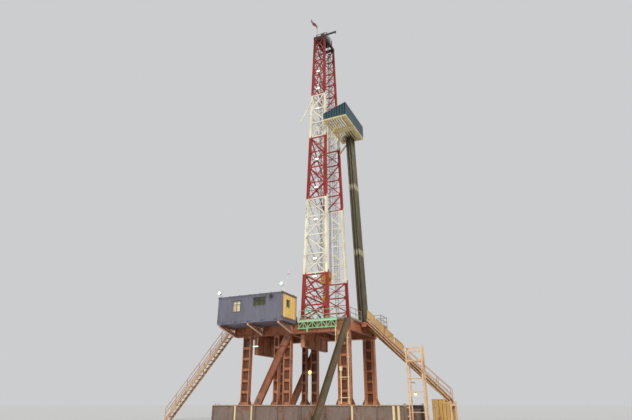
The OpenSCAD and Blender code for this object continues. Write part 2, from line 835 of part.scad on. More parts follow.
// A point on the mast's side frame, turned so that its sheet lies in the near side panel
module near_side_frame()
    translate([0, -mast_base_width / 2, floor_h]) rotate([-side_tilt, 0, 0]) rotate([90, 0, 0]) children();

module both_sides() for (side = [0, 1]) mirror([0, side, 0]) children();

// A strip of a chord between two heights; a and b are shares of its half width from its centre line
module chord_strip(h0, h1, a, b, side, inset = 0) {
    function edge(h, k) = side * (half_depth(h) + k * (chord_half(h) - inset));
    polygon([[edge(h0, a), side_s(h0)], [edge(h0, b), side_s(h0)],
             [edge(h1, b), side_s(h1)], [edge(h1, a), side_s(h1)]]);
}

// The bracing of one side panel: a horizontal at each bay line and alternate diagonals
module side_bracing(h0, h1, bays) {
    bay = (h1 - h0) / bays;
    half = brace_w / 2;
    intersection() {
        union() {
            for (k = [0 : bays]) {
                h = min(h1 - half, max(h0 + half, h0 + k * bay));
                bar([-half_depth(h), side_s(h)], [half_depth(h), side_s(h)], brace_w);
            }
            for (k = [0 : bays - 1]) {
                a = h0 + k * bay;
                b = a + bay;
                dir = k % 2 == 0 ? 1 : -1;
                bar([-dir * half_depth(a), side_s(a)], [dir * half_depth(b), side_s(b)], brace_w * 0.85);
            }
        }
        polygon([[-half_depth(h0), side_s(h0)], [half_depth(h0), side_s(h0)],
                 [half_depth(h1), side_s(h1)], [-half_depth(h1), side_s(h1)]]);
    }
}

module foot_pin_holes(h0) {
    if (h0 == 0 || h0 == foot_gap)
        for (side = [-1, 1])
            translate([side * half_depth(0), foot_gap + 120]) circle(r = foot_pin_r + pin_gap, $fn = 32);
}

module side_panel(h0, h1, bays) {
    near_side_frame() {
        for (side = [-1, 1])
            linear_extrude(chord_t, center = true) difference() {
                chord_strip(h0, h1, -1, 1, side);
                chord_strip(h0 - 1, h1 + 1, -1, 1, side, flange_t);
                foot_pin_holes(h0);
            }
        linear_extrude(brace_t, center = true) difference() {
            union() {
                for (side = [-1, 1]) chord_strip(h0, h1, -1, 1, side);
                side_bracing(h0, h1, bays);
            }
            foot_pin_holes(h0);
        }
    }
}

// The back panel between the rear chords: edge strips, horizontals and crossed diagonals
module back_panel(h0, h1, bays) {
    crosses = ceil(bays / 2);
    bay = (h1 - h0) / crosses;
    inset = brace_t / 2 / cos(side_tilt) + seat;
    edge_w = 100;
    half = brace_w / 2;
    translate([-mast_base_depth / 2, 0, floor_h]) rotate([0, back_tilt, 0]) rotate([90, 0, 90])
        linear_extrude(brace_t, center = true) intersection() {
            union() {
                for (k = [0 : crosses]) {
                    h = min(h1 - half, max(h0 + half, h0 + k * bay));
                    bar([-half_width(h), back_s(h)], [half_width(h), back_s(h)], brace_w);
                }
                for (k = [0 : crosses - 1], side = [-1, 1]) {
                    a = h0 + k * bay;
                    b = a + bay;
                    bar([-side * half_width(a), back_s(a)], [side * half_width(b), back_s(b)], brace_w * 0.8);
                }
                for (side = [-1, 1])
                    polygon([[side * (half_width(h0) - inset - edge_w), back_s(h0)],
                             [side * half_width(h0), back_s(h0)], [side * half_width(h1), back_s(h1)],
                             [side * (half_width(h1) - inset - edge_w), back_s(h1)]]);
            }
            polygon([[-half_width(h0) + inset, back_s(h0)], [half_width(h0) - inset, back_s(h0)],
                     [half_width(h1) - inset, back_s(h1)], [-half_width(h1) + inset, back_s(h1)]]);
        }
}

module mast_section(i) {
    h0 = i == 0 ? foot_gap : section_starts[i];
    h1 = section_starts[i + 1];
    color(section_colours[i]) {
        both_sides() side_panel(h0, h1, section_bays[i]);
        back_panel(i == 0 ? shoe_h : h0, h1, section_bays[i]);
    }
}

// Four clevis shoes on the floor that the mast's feet are pinned in
module mast_shoes() {
    lug_t = 40;
    lug_y = chord_t / 2 + 2 + lug_t / 2;
    color(grey) {
        for (x = [-1, 1], y = [-1, 1])
            translate([x * mast_base_depth / 2 - 190, y * mast_base_width / 2 - 170, floor_h])
                cube([380, 340, 40]);
        both_sides() intersection() {
            near_side_frame() for (side = [-1, 1], t = [-1, 1])
                translate([side * half_depth(0), 0, t * lug_y]) linear_extrude(lug_t, center = true) difference() {
                    union() {
                        translate([-130, -30]) square([260, foot_gap + 150]);
                        translate([0, foot_gap + 120]) circle(r = 130, $fn = 48);
                    }
                    translate([0, foot_gap + 120]) circle(r = foot_pin_r + pin_gap, $fn = 32);
                }
            translate([-mast_base_depth, -mast_base_width, floor_h + 39])
                cube([2 * mast_base_depth, 2 * mast_base_width, 600]);
        }
    }
}

module mast_foot_pins() {
    color(steel)
        both_sides() near_side_frame() for (side = [-1, 1])
            translate([side * half_depth(0), foot_gap + 120, 0]) {
                cylinder(r = foot_pin_r, h = chord_t + 110, center = true, $fn = 32);
                translate([0, 0, (chord_t + 110) / 2]) cylinder(r = foot_pin_r + 20, h = 16, $fn = 32);
            }
}

// A ladder on the outside of the far side panel, from the floor to the crown, held at the bay lines
module mast_ladder() {
    ladder_w = 230;
    side = 24;
    rung = 16;
    rung_gap = 150;
    top = side_s(mast_h - 60);
    color(steel) mirror([0, 1, 0])
        near_side_frame() translate([0, 0, chord_t / 2 + 60 + seat]) {
            linear_extrude(24) difference() {
                translate([-ladder_w / 2, foot_gap]) square([ladder_w, top - foot_gap]);
                for (z = [foot_gap + rung : rung_gap : top - rung_gap])
                    translate([side - ladder_w / 2, z]) square([ladder_w - 2 * side, rung_gap - rung]);
            }
            for (p = [[0, 1], [1, 0], [1, 1], [1, 2], [2, 0], [2, 1], [2, 2], [3, 0], [3, 2], [4, 0],
                      [4, 1], [4, 2], [4, 3], [4, 4]])
                translate([-ladder_w / 2, side_s(bay_line(p[0], p[1])) - 20, -60 - chord_t / 2 + brace_t / 2])
                    cube([ladder_w, 40, 61 + chord_t / 2 - brace_t / 2]);
        }
}

// A pale bar slung out from the mast's rear near chord, with its tie back to the chord
module mast_outrigger() {
    top_h = 15470;
    low_h = 13880;
    reach = 860;
    bar_t = 50;
    chord_x = -half_depth(top_h);
    color(white) near_side_frame() translate([0, 0, chord_t / 2 + bar_t / 2 + seat])
        linear_extrude(bar_t, center = true) {
            bar([chord_x + 40, side_s(top_h)], [chord_x - reach, side_s(low_h)], 60);
            bar([chord_x - 40, side_s(low_h + 400)], [chord_x - reach * 0.62, side_s(low_h + 600)], 36);
        }
}

// The frame on top of the mast: perimeter beams on the chords, two crown beams and a walkway
crown_half_x = 430;
crown_half_y = 560;

module crown_frame() {
    chord_x = half_depth(mast_h);
    chord_y = half_width(mast_h);
    beam_w = 150;
    deck_z = crown_z + crown_beam_h - 40;
    color(rust_red) {
        for (side = [-1, 1]) {
            translate([side * chord_x - beam_w / 2, -chord_y - 100, crown_z + chord_t / 2 * sin(side_tilt) + seat])
                cube([beam_w, 2 * chord_y + 200, crown_beam_h - 44]);
            translate([-chord_x + beam_w / 2, side * chord_y - beam_w / 2, crown_z + chord_t / 2 * sin(side_tilt) + seat])
                cube([2 * chord_x - beam_w, beam_w, crown_beam_h - 44]);
            translate([-crown_half_x, side * (crown_half_y - 90) - 90, deck_z])
                cube([2 * crown_half_x, 180, 40]);
            translate([side * (crown_half_x - 25) - 25, -crown_half_y + 180, deck_z])
                cube([50, 2 * (crown_half_y - 180), 40]);
            translate([-130, side * 320 - 40, deck_z]) difference() {
                cube([260, 80, crown_axle_z - deck_z + 100]);
                translate([130, -1, crown_axle_z - deck_z]) rotate([-90, 0, 0])
                    cylinder(r = axle_r + seat, h = 82, $fn = 48);
            }
            translate([-chord_x, side * 320 - 40, crown_z + 40]) cube([2 * chord_x, 80, crown_beam_h - 79]);
        }
    }
}

// One sheave on an axle along Y, with a rope groove, a web and a hub
module sheave() {
    hub_r = 100;
    web = 18;
    w = sheave_w;
    rotate([90, 0, 0]) rotate_extrude($fn = 96)
        polygon([
            [axle_r + seat, -w / 2], [hub_r, -w / 2], [hub_r, -web / 2], [groove_r - 50, -web / 2],
            [groove_r - 50, -w / 2], [sheave_r, -w / 2], [sheave_r, -w / 2 + 10],
            [groove_r, -line_r], [groove_r, line_r], [sheave_r, w / 2 - 10], [sheave_r, w / 2],
            [groove_r - 50, w / 2], [groove_r - 50, web / 2], [hub_r, web / 2], [hub_r, w / 2],
            [axle_r + seat, w / 2]
        ]);
}

module axle(l) rotate([90, 0, 0]) cylinder(r = axle_r, h = l, center = true, $fn = 48);

function sheave_y(i, count) = (i - (count - 1) / 2) * sheave_pitch;

module crown_sheaves() {
    color(steel) translate([0, 0, crown_axle_z]) {
        axle(790);
        for (i = [0 : crown_sheave_count - 1]) translate([0, sheave_y(i, crown_sheave_count), 0]) sheave();
    }
}

// Railings round the crown block in four runs, and the short lifting arm towards the V-door
module crown_railing() {
    z = crown_z + crown_beam_h;
    h = 480;
    arm_l = 560;
    arm_z = crown_axle_z + sheave_r + 40;
    color(rust_red) {
        for (side = [-1, 1]) {
            translate([-crown_half_x, side * (crown_half_y - rail_w / 2), z])
                along_y(rail_w) railing_outline(2 * crown_half_x, h);
            translate([side * (crown_half_x - rail_w / 2), -crown_half_y + rail_w + seat, z])
                along_x(rail_w) railing_outline(2 * (crown_half_y - rail_w - seat), h);
        }
        for (x = [-1, 1], y = [-1, 1])
            translate([x * 110 - 20, y * 320 - 20, crown_axle_z + 100 + seat])
                cube([40, 40, arm_z - crown_axle_z - 100]);
        for (y = [-1, 1]) translate([-130, y * 320 - 20, arm_z]) cube([260, 40, 40]);
        translate([-130, -340, arm_z + 40]) cube([60, 680, 60]);
        translate([70, -340, arm_z + 40]) cube([60, 680, 60]);
        translate([-130, -45, arm_z + 100 - 1]) cube([crown_half_x + arm_l + 130, 90, 110]);
        translate([crown_half_x + arm_l - 80, -30, arm_z - 20]) cube([60, 60, 120]);
    }
}

// The flag and its pole, which stands on the crown's rear walkway
flag_pole_x = -crown_half_x + 60;
flag_pole_y = -crown_half_y + 100;
flag_pole_r = 18;
flag_pole_h = 1480;
flag_l = 900;
flag_h = 300;
flag_turn = 262;

module flag_pole() {
    color(steel) translate([flag_pole_x, flag_pole_y, crown_z + crown_beam_h]) {
        cylinder(r = 50, h = 20, $fn = 32);
        cylinder(r = flag_pole_r, h = flag_pole_h, $fn = 24);
        translate([0, 0, flag_pole_h]) sphere(r = 30, $fn = 32);
    }
}

module flag() {
    flag_t = 16;
    color([0.45, 0.1, 0.1])
        translate([flag_pole_x, flag_pole_y, crown_z + crown_beam_h + flag_pole_h - flag_h - 40])
            rotate(flag_turn)
                translate([flag_pole_r + seat, -flag_t / 2, 0]) cube([flag_l, flag_t, flag_h]);
}

// The racking board: side beams, fingers on both sides of a centre walkway, and struts to the mast
board_beam = 110;
board_rear = half_depth(board_h) + chord_half(board_h) + 30;
walkway_w = 560;
finger_w = 60;

module racking_board() {
    strut_h = 1300;
    strut_reach = half_depth(board_h - strut_h) + chord_half(board_h - strut_h) + seat;
    inner = board_front - board_rear - 2 * board_beam - 2 * seat;
    chord_front = half_depth(board_h - board_beam) + chord_half(board_h - board_beam) + seat;
    color([0.7, 0.64, 0.4]) translate([0, 0, board_z]) {
        for (x = [board_rear, board_front - board_beam])
            translate([x, -board_half_w, -board_beam]) cube([board_beam, 2 * board_half_w, board_beam]);
        for (side = [-1, 1]) {
            translate([board_rear + board_beam + seat, side * (board_half_w - board_beam / 2) - board_beam / 2,
                       -board_beam])
                cube([inner, board_beam, board_beam]);
            translate([0, side * (half_width(board_h) - 20), -seat]) along_y(70) difference() {
                bar([strut_reach - 60, -strut_h], [board_front - 700, -board_beam - 40], 80);
                translate([0, -2 * strut_h]) square([strut_reach, 3 * strut_h]);
                translate([0, -board_beam]) square([board_front, strut_h]);
            }
        }
        translate([board_rear + board_beam + seat, -walkway_w / 2, -70]) cube([inner, walkway_w, 70]);
        for (side = [-1, 1])
            translate([chord_front, side * half_width(board_h) - 40, -board_beam])
                cube([board_rear - chord_front - seat, 80, board_beam]);
    }
}

// The fingers on both sides of the walkway, each a bar of its own
module board_fingers() {
    fingers = floor((board_front - board_rear - 3 * board_beam) / finger_pitch);
    color([0.7, 0.64, 0.4]) translate([0, 0, board_z])
        for (side = [-1, 1], i = [0 : fingers - 1])
            translate([board_rear + board_beam + 60 + i * finger_pitch,
                       side > 0 ? walkway_w / 2 + seat : -board_half_w + board_beam + seat, -60])
                cube([finger_w, board_half_w - board_beam - walkway_w / 2 - 2 * seat, 60]);
}

// Wind walls on three sides, the side walls rising towards the front
module board_wind_walls() {
    sheet_t = 30;
    color([0.1, 0.24, 0.25]) translate([0, 0, board_z + seat]) {
        for (side = [-1, 1])
            translate([0, side * (board_half_w - sheet_t / 2), 0]) along_y(sheet_t)
                polygon([[board_rear, 0], [board_front - sheet_t - seat, 0],
                         [board_front - sheet_t - seat, wind_wall_h], [board_rear, wind_wall_rear_h]]);
        translate([board_front - sheet_t, -board_half_w, 0])
            cube([sheet_t, 2 * board_half_w, wind_wall_h]);
    }
}

// One stand of three joints of pipe, standing on [0, 0, 0]
module stand() {
    upset = 130;
    rotate_extrude($fn = 24) polygon(concat(
        [[0, 0], [joint_r, 0]],
        [for (k = [0 : 2], c = [0 : 3])
            [[joint_r, pipe_r, pipe_r, joint_r][c], k * joint_l + [upset, upset + 20, joint_l - upset - 20, joint_l - upset][c]]],
        [[joint_r, 3 * joint_l], [0, 3 * joint_l]]
    ));
}

stand_slot = 4;
stand_x = board_rear + board_beam + 60 + stand_slot * finger_pitch - (finger_pitch - finger_w) / 2;
stand_lean = 2.3;
stand_foot = [stand_x + board_h * tan(stand_lean), 1180];
stand_pitch = 120;

module pipe_stands() {
    color([0.35, 0.34, 0.26])
        for (i = [0 : stand_columns - 1], j = [0 : stand_rows - 1])
            translate([stand_foot.x + (i - (stand_columns - 1) / 2) * finger_pitch,
                       stand_foot.y + (j - (stand_rows - 1) / 2) * stand_pitch,
                       floor_h + joint_r * sin(stand_lean) + seat / 2])
                rotate([0, -stand_lean, 0]) stand();
}

// The travelling block, parked low in the mast, its sheaves between two cheek plates
block_half_y = block_sheave_count * sheave_pitch / 2 + 20;
cheek_h = 560;
hook_r = 250;
hook_eye = 130;
hook_z = block_axle_z - cheek_h - 900;

module travelling_block() {
    cheek_t = 30;
    color([0.75, 0.6, 0.15]) translate([0, 0, block_axle_z]) {
        axle(2 * block_half_y + 2 * cheek_t + 40);
        for (i = [0 : block_sheave_count - 1]) translate([0, sheave_y(i, block_sheave_count), 0]) sheave();
        for (side = [-1, 1])
            translate([0, side * (block_half_y + cheek_t / 2), 0]) along_y(cheek_t) difference() {
                union() {
                    circle(r = sheave_r * 0.85, $fn = 64);
                    polygon([[-sheave_r * 0.85, 0], [sheave_r * 0.85, 0], [240, -cheek_h], [-240, -cheek_h]]);
                }
                circle(r = axle_r + seat, $fn = 48);
            }
        translate([-240, -block_half_y, -cheek_h]) cube([480, 2 * block_half_y, 130]);
    }
}

// The hook under the block: spring barrel, shank and the hook itself, open towards the V-door
module hook() {
    color([0.75, 0.6, 0.15]) {
        translate([0, 0, hook_z + hook_r + 160])
            cylinder(r = 150, h = 900 - hook_r - 160 - seat, $fn = 48);
        translate([0, 0, hook_z]) along_y(110) difference() {
            union() {
                circle(r = hook_r, $fn = 64);
                translate([-90, 200]) square([180, hook_r - 39]);
            }
            circle(r = hook_eye, $fn = 64);
            square([2 * hook_r, hook_r - 55]);
        }
    }
}

// The falls of the drill line between the crown and the travelling block
module drill_lines() {
    reach = groove_r + line_r + seat;
    color([0.2, 0.2, 0.2])
        for (i = [0 : block_sheave_count - 1], side = [-1, 1]) {
            top = [side * reach, sheave_y(i + (side > 0 ? 1 : 0), crown_sheave_count), crown_axle_z];
            low = [side * reach, sheave_y(i, block_sheave_count), block_axle_z];
            d = top - low;
            translate(low) rotate([0, acos(d.z / norm(d)), atan2(d.y, d.x)])
                cylinder(r = line_r, h = norm(d), $fn = 16);
        }
}

// The drawworks behind the mast: a skid, the drum between two housings, and a motor
module drawworks() {
    length = 1500;
    half = 1250;
    drum_z = 620;
    drum_x = 420;
    color([0.2, 0.32, 0.42]) translate([-2500 - length, 0, floor_h]) {
        translate([0, -half, 0]) cube([length, 2 * half, 120]);
        for (side = [-1, 1])
            translate([length / 2, side * (half - 220), 0]) along_y(420) polygon(concat(
                [[-650, 120], [650, 120], [650, 560]],
                [for (a = [0 : 15 : 90]) [350 + 300 * cos(a), 760 + 300 * sin(a)]],
                [for (a = [90 : 15 : 180]) [-350 + 300 * cos(a), 760 + 300 * sin(a)]]
            ));
        translate([length - drum_x, 0, drum_z]) rotate([90, 0, 0]) {
            cylinder(r = 230, h = 2 * (half - 430), center = true, $fn = 64);
            for (side = [-1, 1])
                translate([0, 0, side * (half - 480)]) cylinder(r = 430, h = 50, center = true, $fn = 64);
        }
        translate([360, 0, 470]) rotate([90, 0, 0]) cylinder(r = 260, h = 1300, center = true, $fn = 48);
        translate([180, -500, 119]) cube([360, 1000, 200]);
    }
}

// A floodlight head looking towards -Y, with the back of its shell at the origin
lamp_r = 110;
lamp_depth = 150;

module floodlight_head() {
    rotate([90, 0, 0]) rotate_extrude($fn = 32) polygon([
        [0, 0], [lamp_r * 0.55, 0], [lamp_r, lamp_depth - 60], [lamp_r, lamp_depth],
        [lamp_r - 14, lamp_depth], [lamp_r - 14, lamp_depth - 30], [0, lamp_depth - 30]
    ]);
}

// A floodlight on a pole of height h, with a square cap that carries its head
module floodlight(h) {
    translate([-45, -45, 0]) cube([90, 90, 16]);
    cylinder(r = 22, h = h, $fn = 24);
    translate([-30, -40, h - 1]) cube([60, 80, 120]);
    translate([0, -39, h + 60]) floodlight_head();
}

// Floodlights on the doghouse's roof and the near base beam, a tube under the girder, a tower lamp
module floodlights() {
    roof_y = doghouse_near_y + 90;
    color(steel) {
        translate([doghouse_rear_x + 60, roof_y, doghouse_top + 64 + seat]) floodlight(170);
        translate([-doghouse_front - 60, roof_y, doghouse_top + 64 + seat]) floodlight(350);
        translate([-200, -frame_half_w + base_w - 60, base_h]) floodlight(1600);
        translate([legs[0][0] + legs[0][1] / 2 + 40, -frame_half_w + girder_w / 2, 0]) {
            for (x = [60, 300]) translate([x, -10, 4080]) cube([20, 20, girder_bottom - 4080 - seat]);
            translate([0, -40, 4000]) cube([380, 80, 81]);
        }
        translate([tower_x + 360, tower_y + tower_post + seat, 0]) {
            translate([0, -tower_post / 2, 1360]) cube([60, 30, 90 - seat]);
            translate([-40, -tower_post / 2 + 15, 1280]) cube([140, 110, 110]);
        }
    }
}

// Lamps hung from the mast's horizontals: section, bay line in it, side and drop below the bar
mast_lamps = [[0, 3, -1, 120], [1, 1, -1, 300], [1, 3, -1, 240], [2, 1, -1, 400], [2, 3, -1, 620],
              [3, 2, -1, 40], [4, 1, -1, 540], [4, 2, -1, 40],
              [0, 3, 1, 640], [1, 3, 1, 760], [2, 3, 1, 740], [3, 1, 1, 520]];

function bay_line(i, k) =
    let (h0 = i == 0 ? foot_gap : section_starts[i], h1 = section_starts[i + 1])
    min(h1 - brace_w / 2, max(h0 + brace_w / 2, h0 + k * (h1 - h0) / section_bays[i]));

module mast_lights() {
    strap = 12;
    color([0.95, 0.95, 0.85])
        for (p = mast_lamps)
            mirror([0, p[2] > 0 ? 1 : 0, 0]) near_side_frame()
                translate([0, side_s(bay_line(p[0], p[1])), brace_t / 2 + seat]) {
                    translate([-20, -p[3] - 40, 0]) cube([40, p[3] + 40 + brace_w / 4, strap]);
                    translate([-130, -p[3] - 130, strap - 1]) cube([260, 130, 100]);
                }
}

near_base_beam();
far_base_beam();
base_cross_beams();
near_legs();
far_legs();
side_struts();
near_floor_girder();
far_floor_girder();
floor_cross_beams();
deep_cross_girders();
drill_floor();
floor_landings();
rotary_table();
near_fascia();
near_railing();
floor_railings();
doghouse_brackets();
doghouse_skid();
doghouse_near_wall();
doghouse_far_wall();
doghouse_end_walls();
doghouse_roof();
doghouse_door();
doghouse_glass();
rear_stair_sides();
rear_stair_treads();
v_door_ramp();
ramp_foot_stand();
ramp_stair_sides();
ramp_stair_treads();
ramp_stair_panels();
service_tower();
escape_slide();
mast_shoes();
mast_foot_pins();
mast_section(0);  // mast_section_1
mast_section(1);  // mast_section_2
mast_section(2);  // mast_section_3
mast_section(3);  // mast_section_4
mast_section(4);  // mast_section_5
mast_ladder();
mast_outrigger();
crown_frame();
crown_sheaves();
crown_railing();
flag_pole();
flag();
racking_board();
board_fingers();
board_wind_walls();
pipe_stands();
travelling_block();
hook();
drill_lines();
drawworks();
floodlights();
mast_lights();
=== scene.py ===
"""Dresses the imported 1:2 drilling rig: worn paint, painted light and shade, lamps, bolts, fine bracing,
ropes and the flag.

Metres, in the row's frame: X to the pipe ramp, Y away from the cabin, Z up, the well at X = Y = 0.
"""

import json
from itertools import product
from math import atan, ceil, cos, pi, radians, sin, sqrt, tan

import bpy
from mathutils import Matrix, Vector


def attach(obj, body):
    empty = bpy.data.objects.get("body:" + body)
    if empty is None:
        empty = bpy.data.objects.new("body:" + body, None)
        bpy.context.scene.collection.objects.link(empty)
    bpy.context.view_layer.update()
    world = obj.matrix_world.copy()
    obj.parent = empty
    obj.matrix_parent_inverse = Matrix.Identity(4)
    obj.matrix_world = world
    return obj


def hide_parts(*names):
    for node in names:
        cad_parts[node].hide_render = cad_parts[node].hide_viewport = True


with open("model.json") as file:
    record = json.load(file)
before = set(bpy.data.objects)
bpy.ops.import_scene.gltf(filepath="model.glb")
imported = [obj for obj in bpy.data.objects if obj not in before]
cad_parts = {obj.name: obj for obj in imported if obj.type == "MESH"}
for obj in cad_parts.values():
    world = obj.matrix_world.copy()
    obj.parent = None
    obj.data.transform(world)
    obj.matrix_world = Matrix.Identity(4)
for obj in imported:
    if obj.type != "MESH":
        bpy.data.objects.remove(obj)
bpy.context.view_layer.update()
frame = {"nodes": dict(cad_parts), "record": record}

X, Y, Z = Vector((1, 0, 0)), Vector((0, 1, 0)), Vector((0, 0, 1))

# sizes shared with the part's source
FLOOR = 5.25
ON_FLOOR = (0, 0, FLOOR)
FLOOR_REAR, FLOOR_FRONT = -5.1, 2.4
HALF = 2.2
BASE_TOP = 0.85
GIRDER_LOW = 4.61
MAST_H = 21.2
BASE_DEPTH, TOP_DEPTH = 1.6, 0.76
BASE_WIDTH, TOP_WIDTH = 3.3, 1.7
STARTS = [0, 2.9, 7.9, 12.5, 16.0, MAST_H]
BAYS = [3, 4, 4, 3, 5]
CHORD_BASE, CHORD_TOP = 0.18, 0.124
CHORD_T, BRACE_T, BRACE_W = 0.17, 0.064, 0.076
SIDE_TILT = atan((BASE_WIDTH - TOP_WIDTH) / 2 / MAST_H)
BACK_TILT = atan((BASE_DEPTH - TOP_DEPTH) / 2 / MAST_H)
CABIN = Vector((-5.16, -3.9, FLOOR))
CABIN_L, CABIN_W, CABIN_H = 4.26, 1.64, 1.38
CABIN_TOP = FLOOR + CABIN_H
CROWN_Z = FLOOR + MAST_H
CROWN_AXLE = CROWN_Z + 0.43
BLOCK_AXLE = FLOOR + 3.1
RAMP_DROP = 4.27
RAMP_SLOPE = radians(45)
RAMP_RUN = RAMP_DROP / tan(RAMP_SLOPE)
STAIR_RUN = RAMP_RUN + 0.27
STAIR_Y = 0.49


def taper(base, top, h):
    """Half of a size of the mast at h above the floor."""
    return (base + (top - base) * h / MAST_H) / 2


def half_depth(h):
    return taper(BASE_DEPTH, TOP_DEPTH, h)


def chord_half(h):
    return taper(CHORD_BASE, CHORD_TOP, h)


def clear_half(h):
    """From a side panel's middle to the inner edge of its chord."""
    return half_depth(h) - chord_half(h)


def leaning(width, tilt, h, out):
    """Distance from the mast's axis, and height, of a point out from a leaning panel's middle plane."""
    s = h / cos(tilt)
    away = width / 2 + out * cos(tilt) - s * sin(tilt)
    return away, FLOOR + out * sin(tilt) + s * cos(tilt)


def on_side(x, h, out, side=-1):
    """A point of a side panel: x along the rig, h above the floor, out from the panel's middle plane."""
    y, z = leaning(BASE_WIDTH, SIDE_TILT, h, out)
    return Vector((x, side * y, z))


def on_back(y, h, out):
    """A point of the back panel: out is away from the mast, to the rear."""
    x, z = leaning(BASE_DEPTH, BACK_TILT, h, out)
    return Vector((-x, y, z))


def outward(side):
    return on_side(0, 0, 1, side) - on_side(0, 0, 0, side)


def bay_line(i, k):
    h0 = 0.06 if i == 0 else STARTS[i]
    h1 = STARTS[i + 1]
    return min(h1 - BRACE_W / 2, max(h0 + BRACE_W / 2, h0 + k * (h1 - h0) / BAYS[i]))


def spread(a, b, n):
    """The n values from a to b at even steps."""
    return [a + (b - a) * k / (n - 1) for k in range(n)]


def about(middle, gap):
    return (middle - gap, middle + gap)


def thick(start, t):
    return (start, start + t)


def grid(*axes):
    """Every place that takes one value from each axis. An axis may be a single number."""
    return product(*(a if isinstance(a, (list, tuple)) else (a,) for a in axes))


def arc(centre, a, b, turn, steps):
    """Points on an ellipse with the half axes a and b, from a towards b, through turn radians."""
    angles = [turn * j / steps for j in range(steps + 1)]
    return [Vector(centre) + cos(t) * a + sin(t) * b for t in angles]


def ring(centre, a, b, n):
    return arc(centre, a, b, 2 * pi, n)[:-1]


# materials
def linear(rgb):
    """The linear values, as a list, of a colour that is a tuple from 0 to 255."""
    return [c / 255 / 12.92 if c / 255 <= 0.04045 else ((c / 255 + 0.055) / 1.055) ** 2.4 for c in rgb]


class Nodes:
    """Makes and links the shader nodes of one material."""

    def __init__(self, name):
        self.mat = bpy.data.materials.new(name)
        self.mat.use_nodes = True
        self.tree = self.mat.node_tree
        self.shader = self.tree.nodes["Principled BSDF"]
        self.place = self.new("TexCoord").outputs["Object"]
        self.normal = self.new("NewGeometry").outputs["Normal"]

    def new(self, kind, **values):
        node = self.tree.nodes.new("ShaderNode" + kind)
        for key, value in values.items():
            if key in node.inputs:
                node.inputs[key].default_value = value
            else:
                setattr(node, key, value)
        return node

    def link(self, a, b):
        self.tree.links.new(a, b)

    def scaled(self, sx, sy, sz, rot=(0, 0, 0)):
        node = self.new("Mapping", Scale=(sx, sy, sz), Rotation=rot)
        self.link(self.place, node.inputs["Vector"])
        return node.outputs["Vector"]

    def noise(self, scale, detail=6, rough=0.7, at=None, distortion=0.0):
        node = self.new("TexNoise", Scale=scale, Detail=detail, Roughness=rough, Distortion=distortion)
        self.link(at or self.place, node.inputs["Vector"])
        return node.outputs["Fac"]

    def wave(self, scale, at=None, distortion=0.0):
        node = self.new("TexWave", Scale=scale, Distortion=distortion)
        self.link(at or self.place, node.inputs["Vector"])
        return node.outputs["Fac"]

    def axis(self, source, letter):
        parts = self.new("SeparateXYZ")
        self.link(source, parts.inputs[0])
        return parts.outputs[letter]

    def at(self, letter):
        """The place along one axis."""
        return self.axis(self.place, letter)

    def facing(self, letter):
        """1 on faces that look along an axis, either way."""
        return self.ramp(self.math("ABSOLUTE", self.axis(self.normal, letter)), 0.7, 0.9)

    def ramp(self, fac, low, high, a=0.0, b=1.0):
        ends = {"From Min": low, "From Max": high, "To Min": a, "To Max": b}
        node = self.new("MapRange", clamp=True, **ends)
        self.link(fac, node.inputs["Value"])
        return node.outputs["Result"]

    def math(self, op, a, b=0.0):
        node = self.new("Math", operation=op)
        for k, v in enumerate((a, b)):
            if isinstance(v, (int, float)):
                node.inputs[k].default_value = v
            else:
                self.link(v, node.inputs[k])
        return node.outputs[0]

    def times(self, a, b):
        return self.math("MULTIPLY", a, b)

    def plus(self, a, b):
        return self.math("ADD", a, b)

    def size(self, a):
        return self.math("ABSOLUTE", a)

    def mix(self, fac, a, b):
        node = self.new("Mix", data_type="RGBA")
        for socket, v in ((node.inputs["Factor"], fac), (node.inputs[6], a), (node.inputs[7], b)):
            v = linear(v) if isinstance(v, tuple) else v
            if isinstance(v, (int, float)):
                socket.default_value = v
            elif isinstance(v, list):
                socket.default_value = (*v, 1.0)
            else:
                self.link(v, socket)
        return node.outputs[2]

    def blotch(self, scale, rgb, other):
        """Two colours in soft patches."""
        return self.mix(self.ramp(self.noise(scale), 0.3, 0.7), rgb, other)

    def bump(self, height, strength, distance):
        node = self.new("Bump", Strength=strength, Distance=distance)
        self.link(height, node.inputs["Height"])
        self.link(node.outputs["Normal"], self.shader.inputs["Normal"])

    def surface(self, colour, numbers, glow=False):
        """Links the base colour, also as the light it gives off, and sets the shader's plain numbers."""
        for key in ("Base Color", "Emission Color")[:1 + glow]:
            self.link(colour, self.shader.inputs[key])
        for key, value in numbers.items():
            self.shader.inputs[key].default_value = value


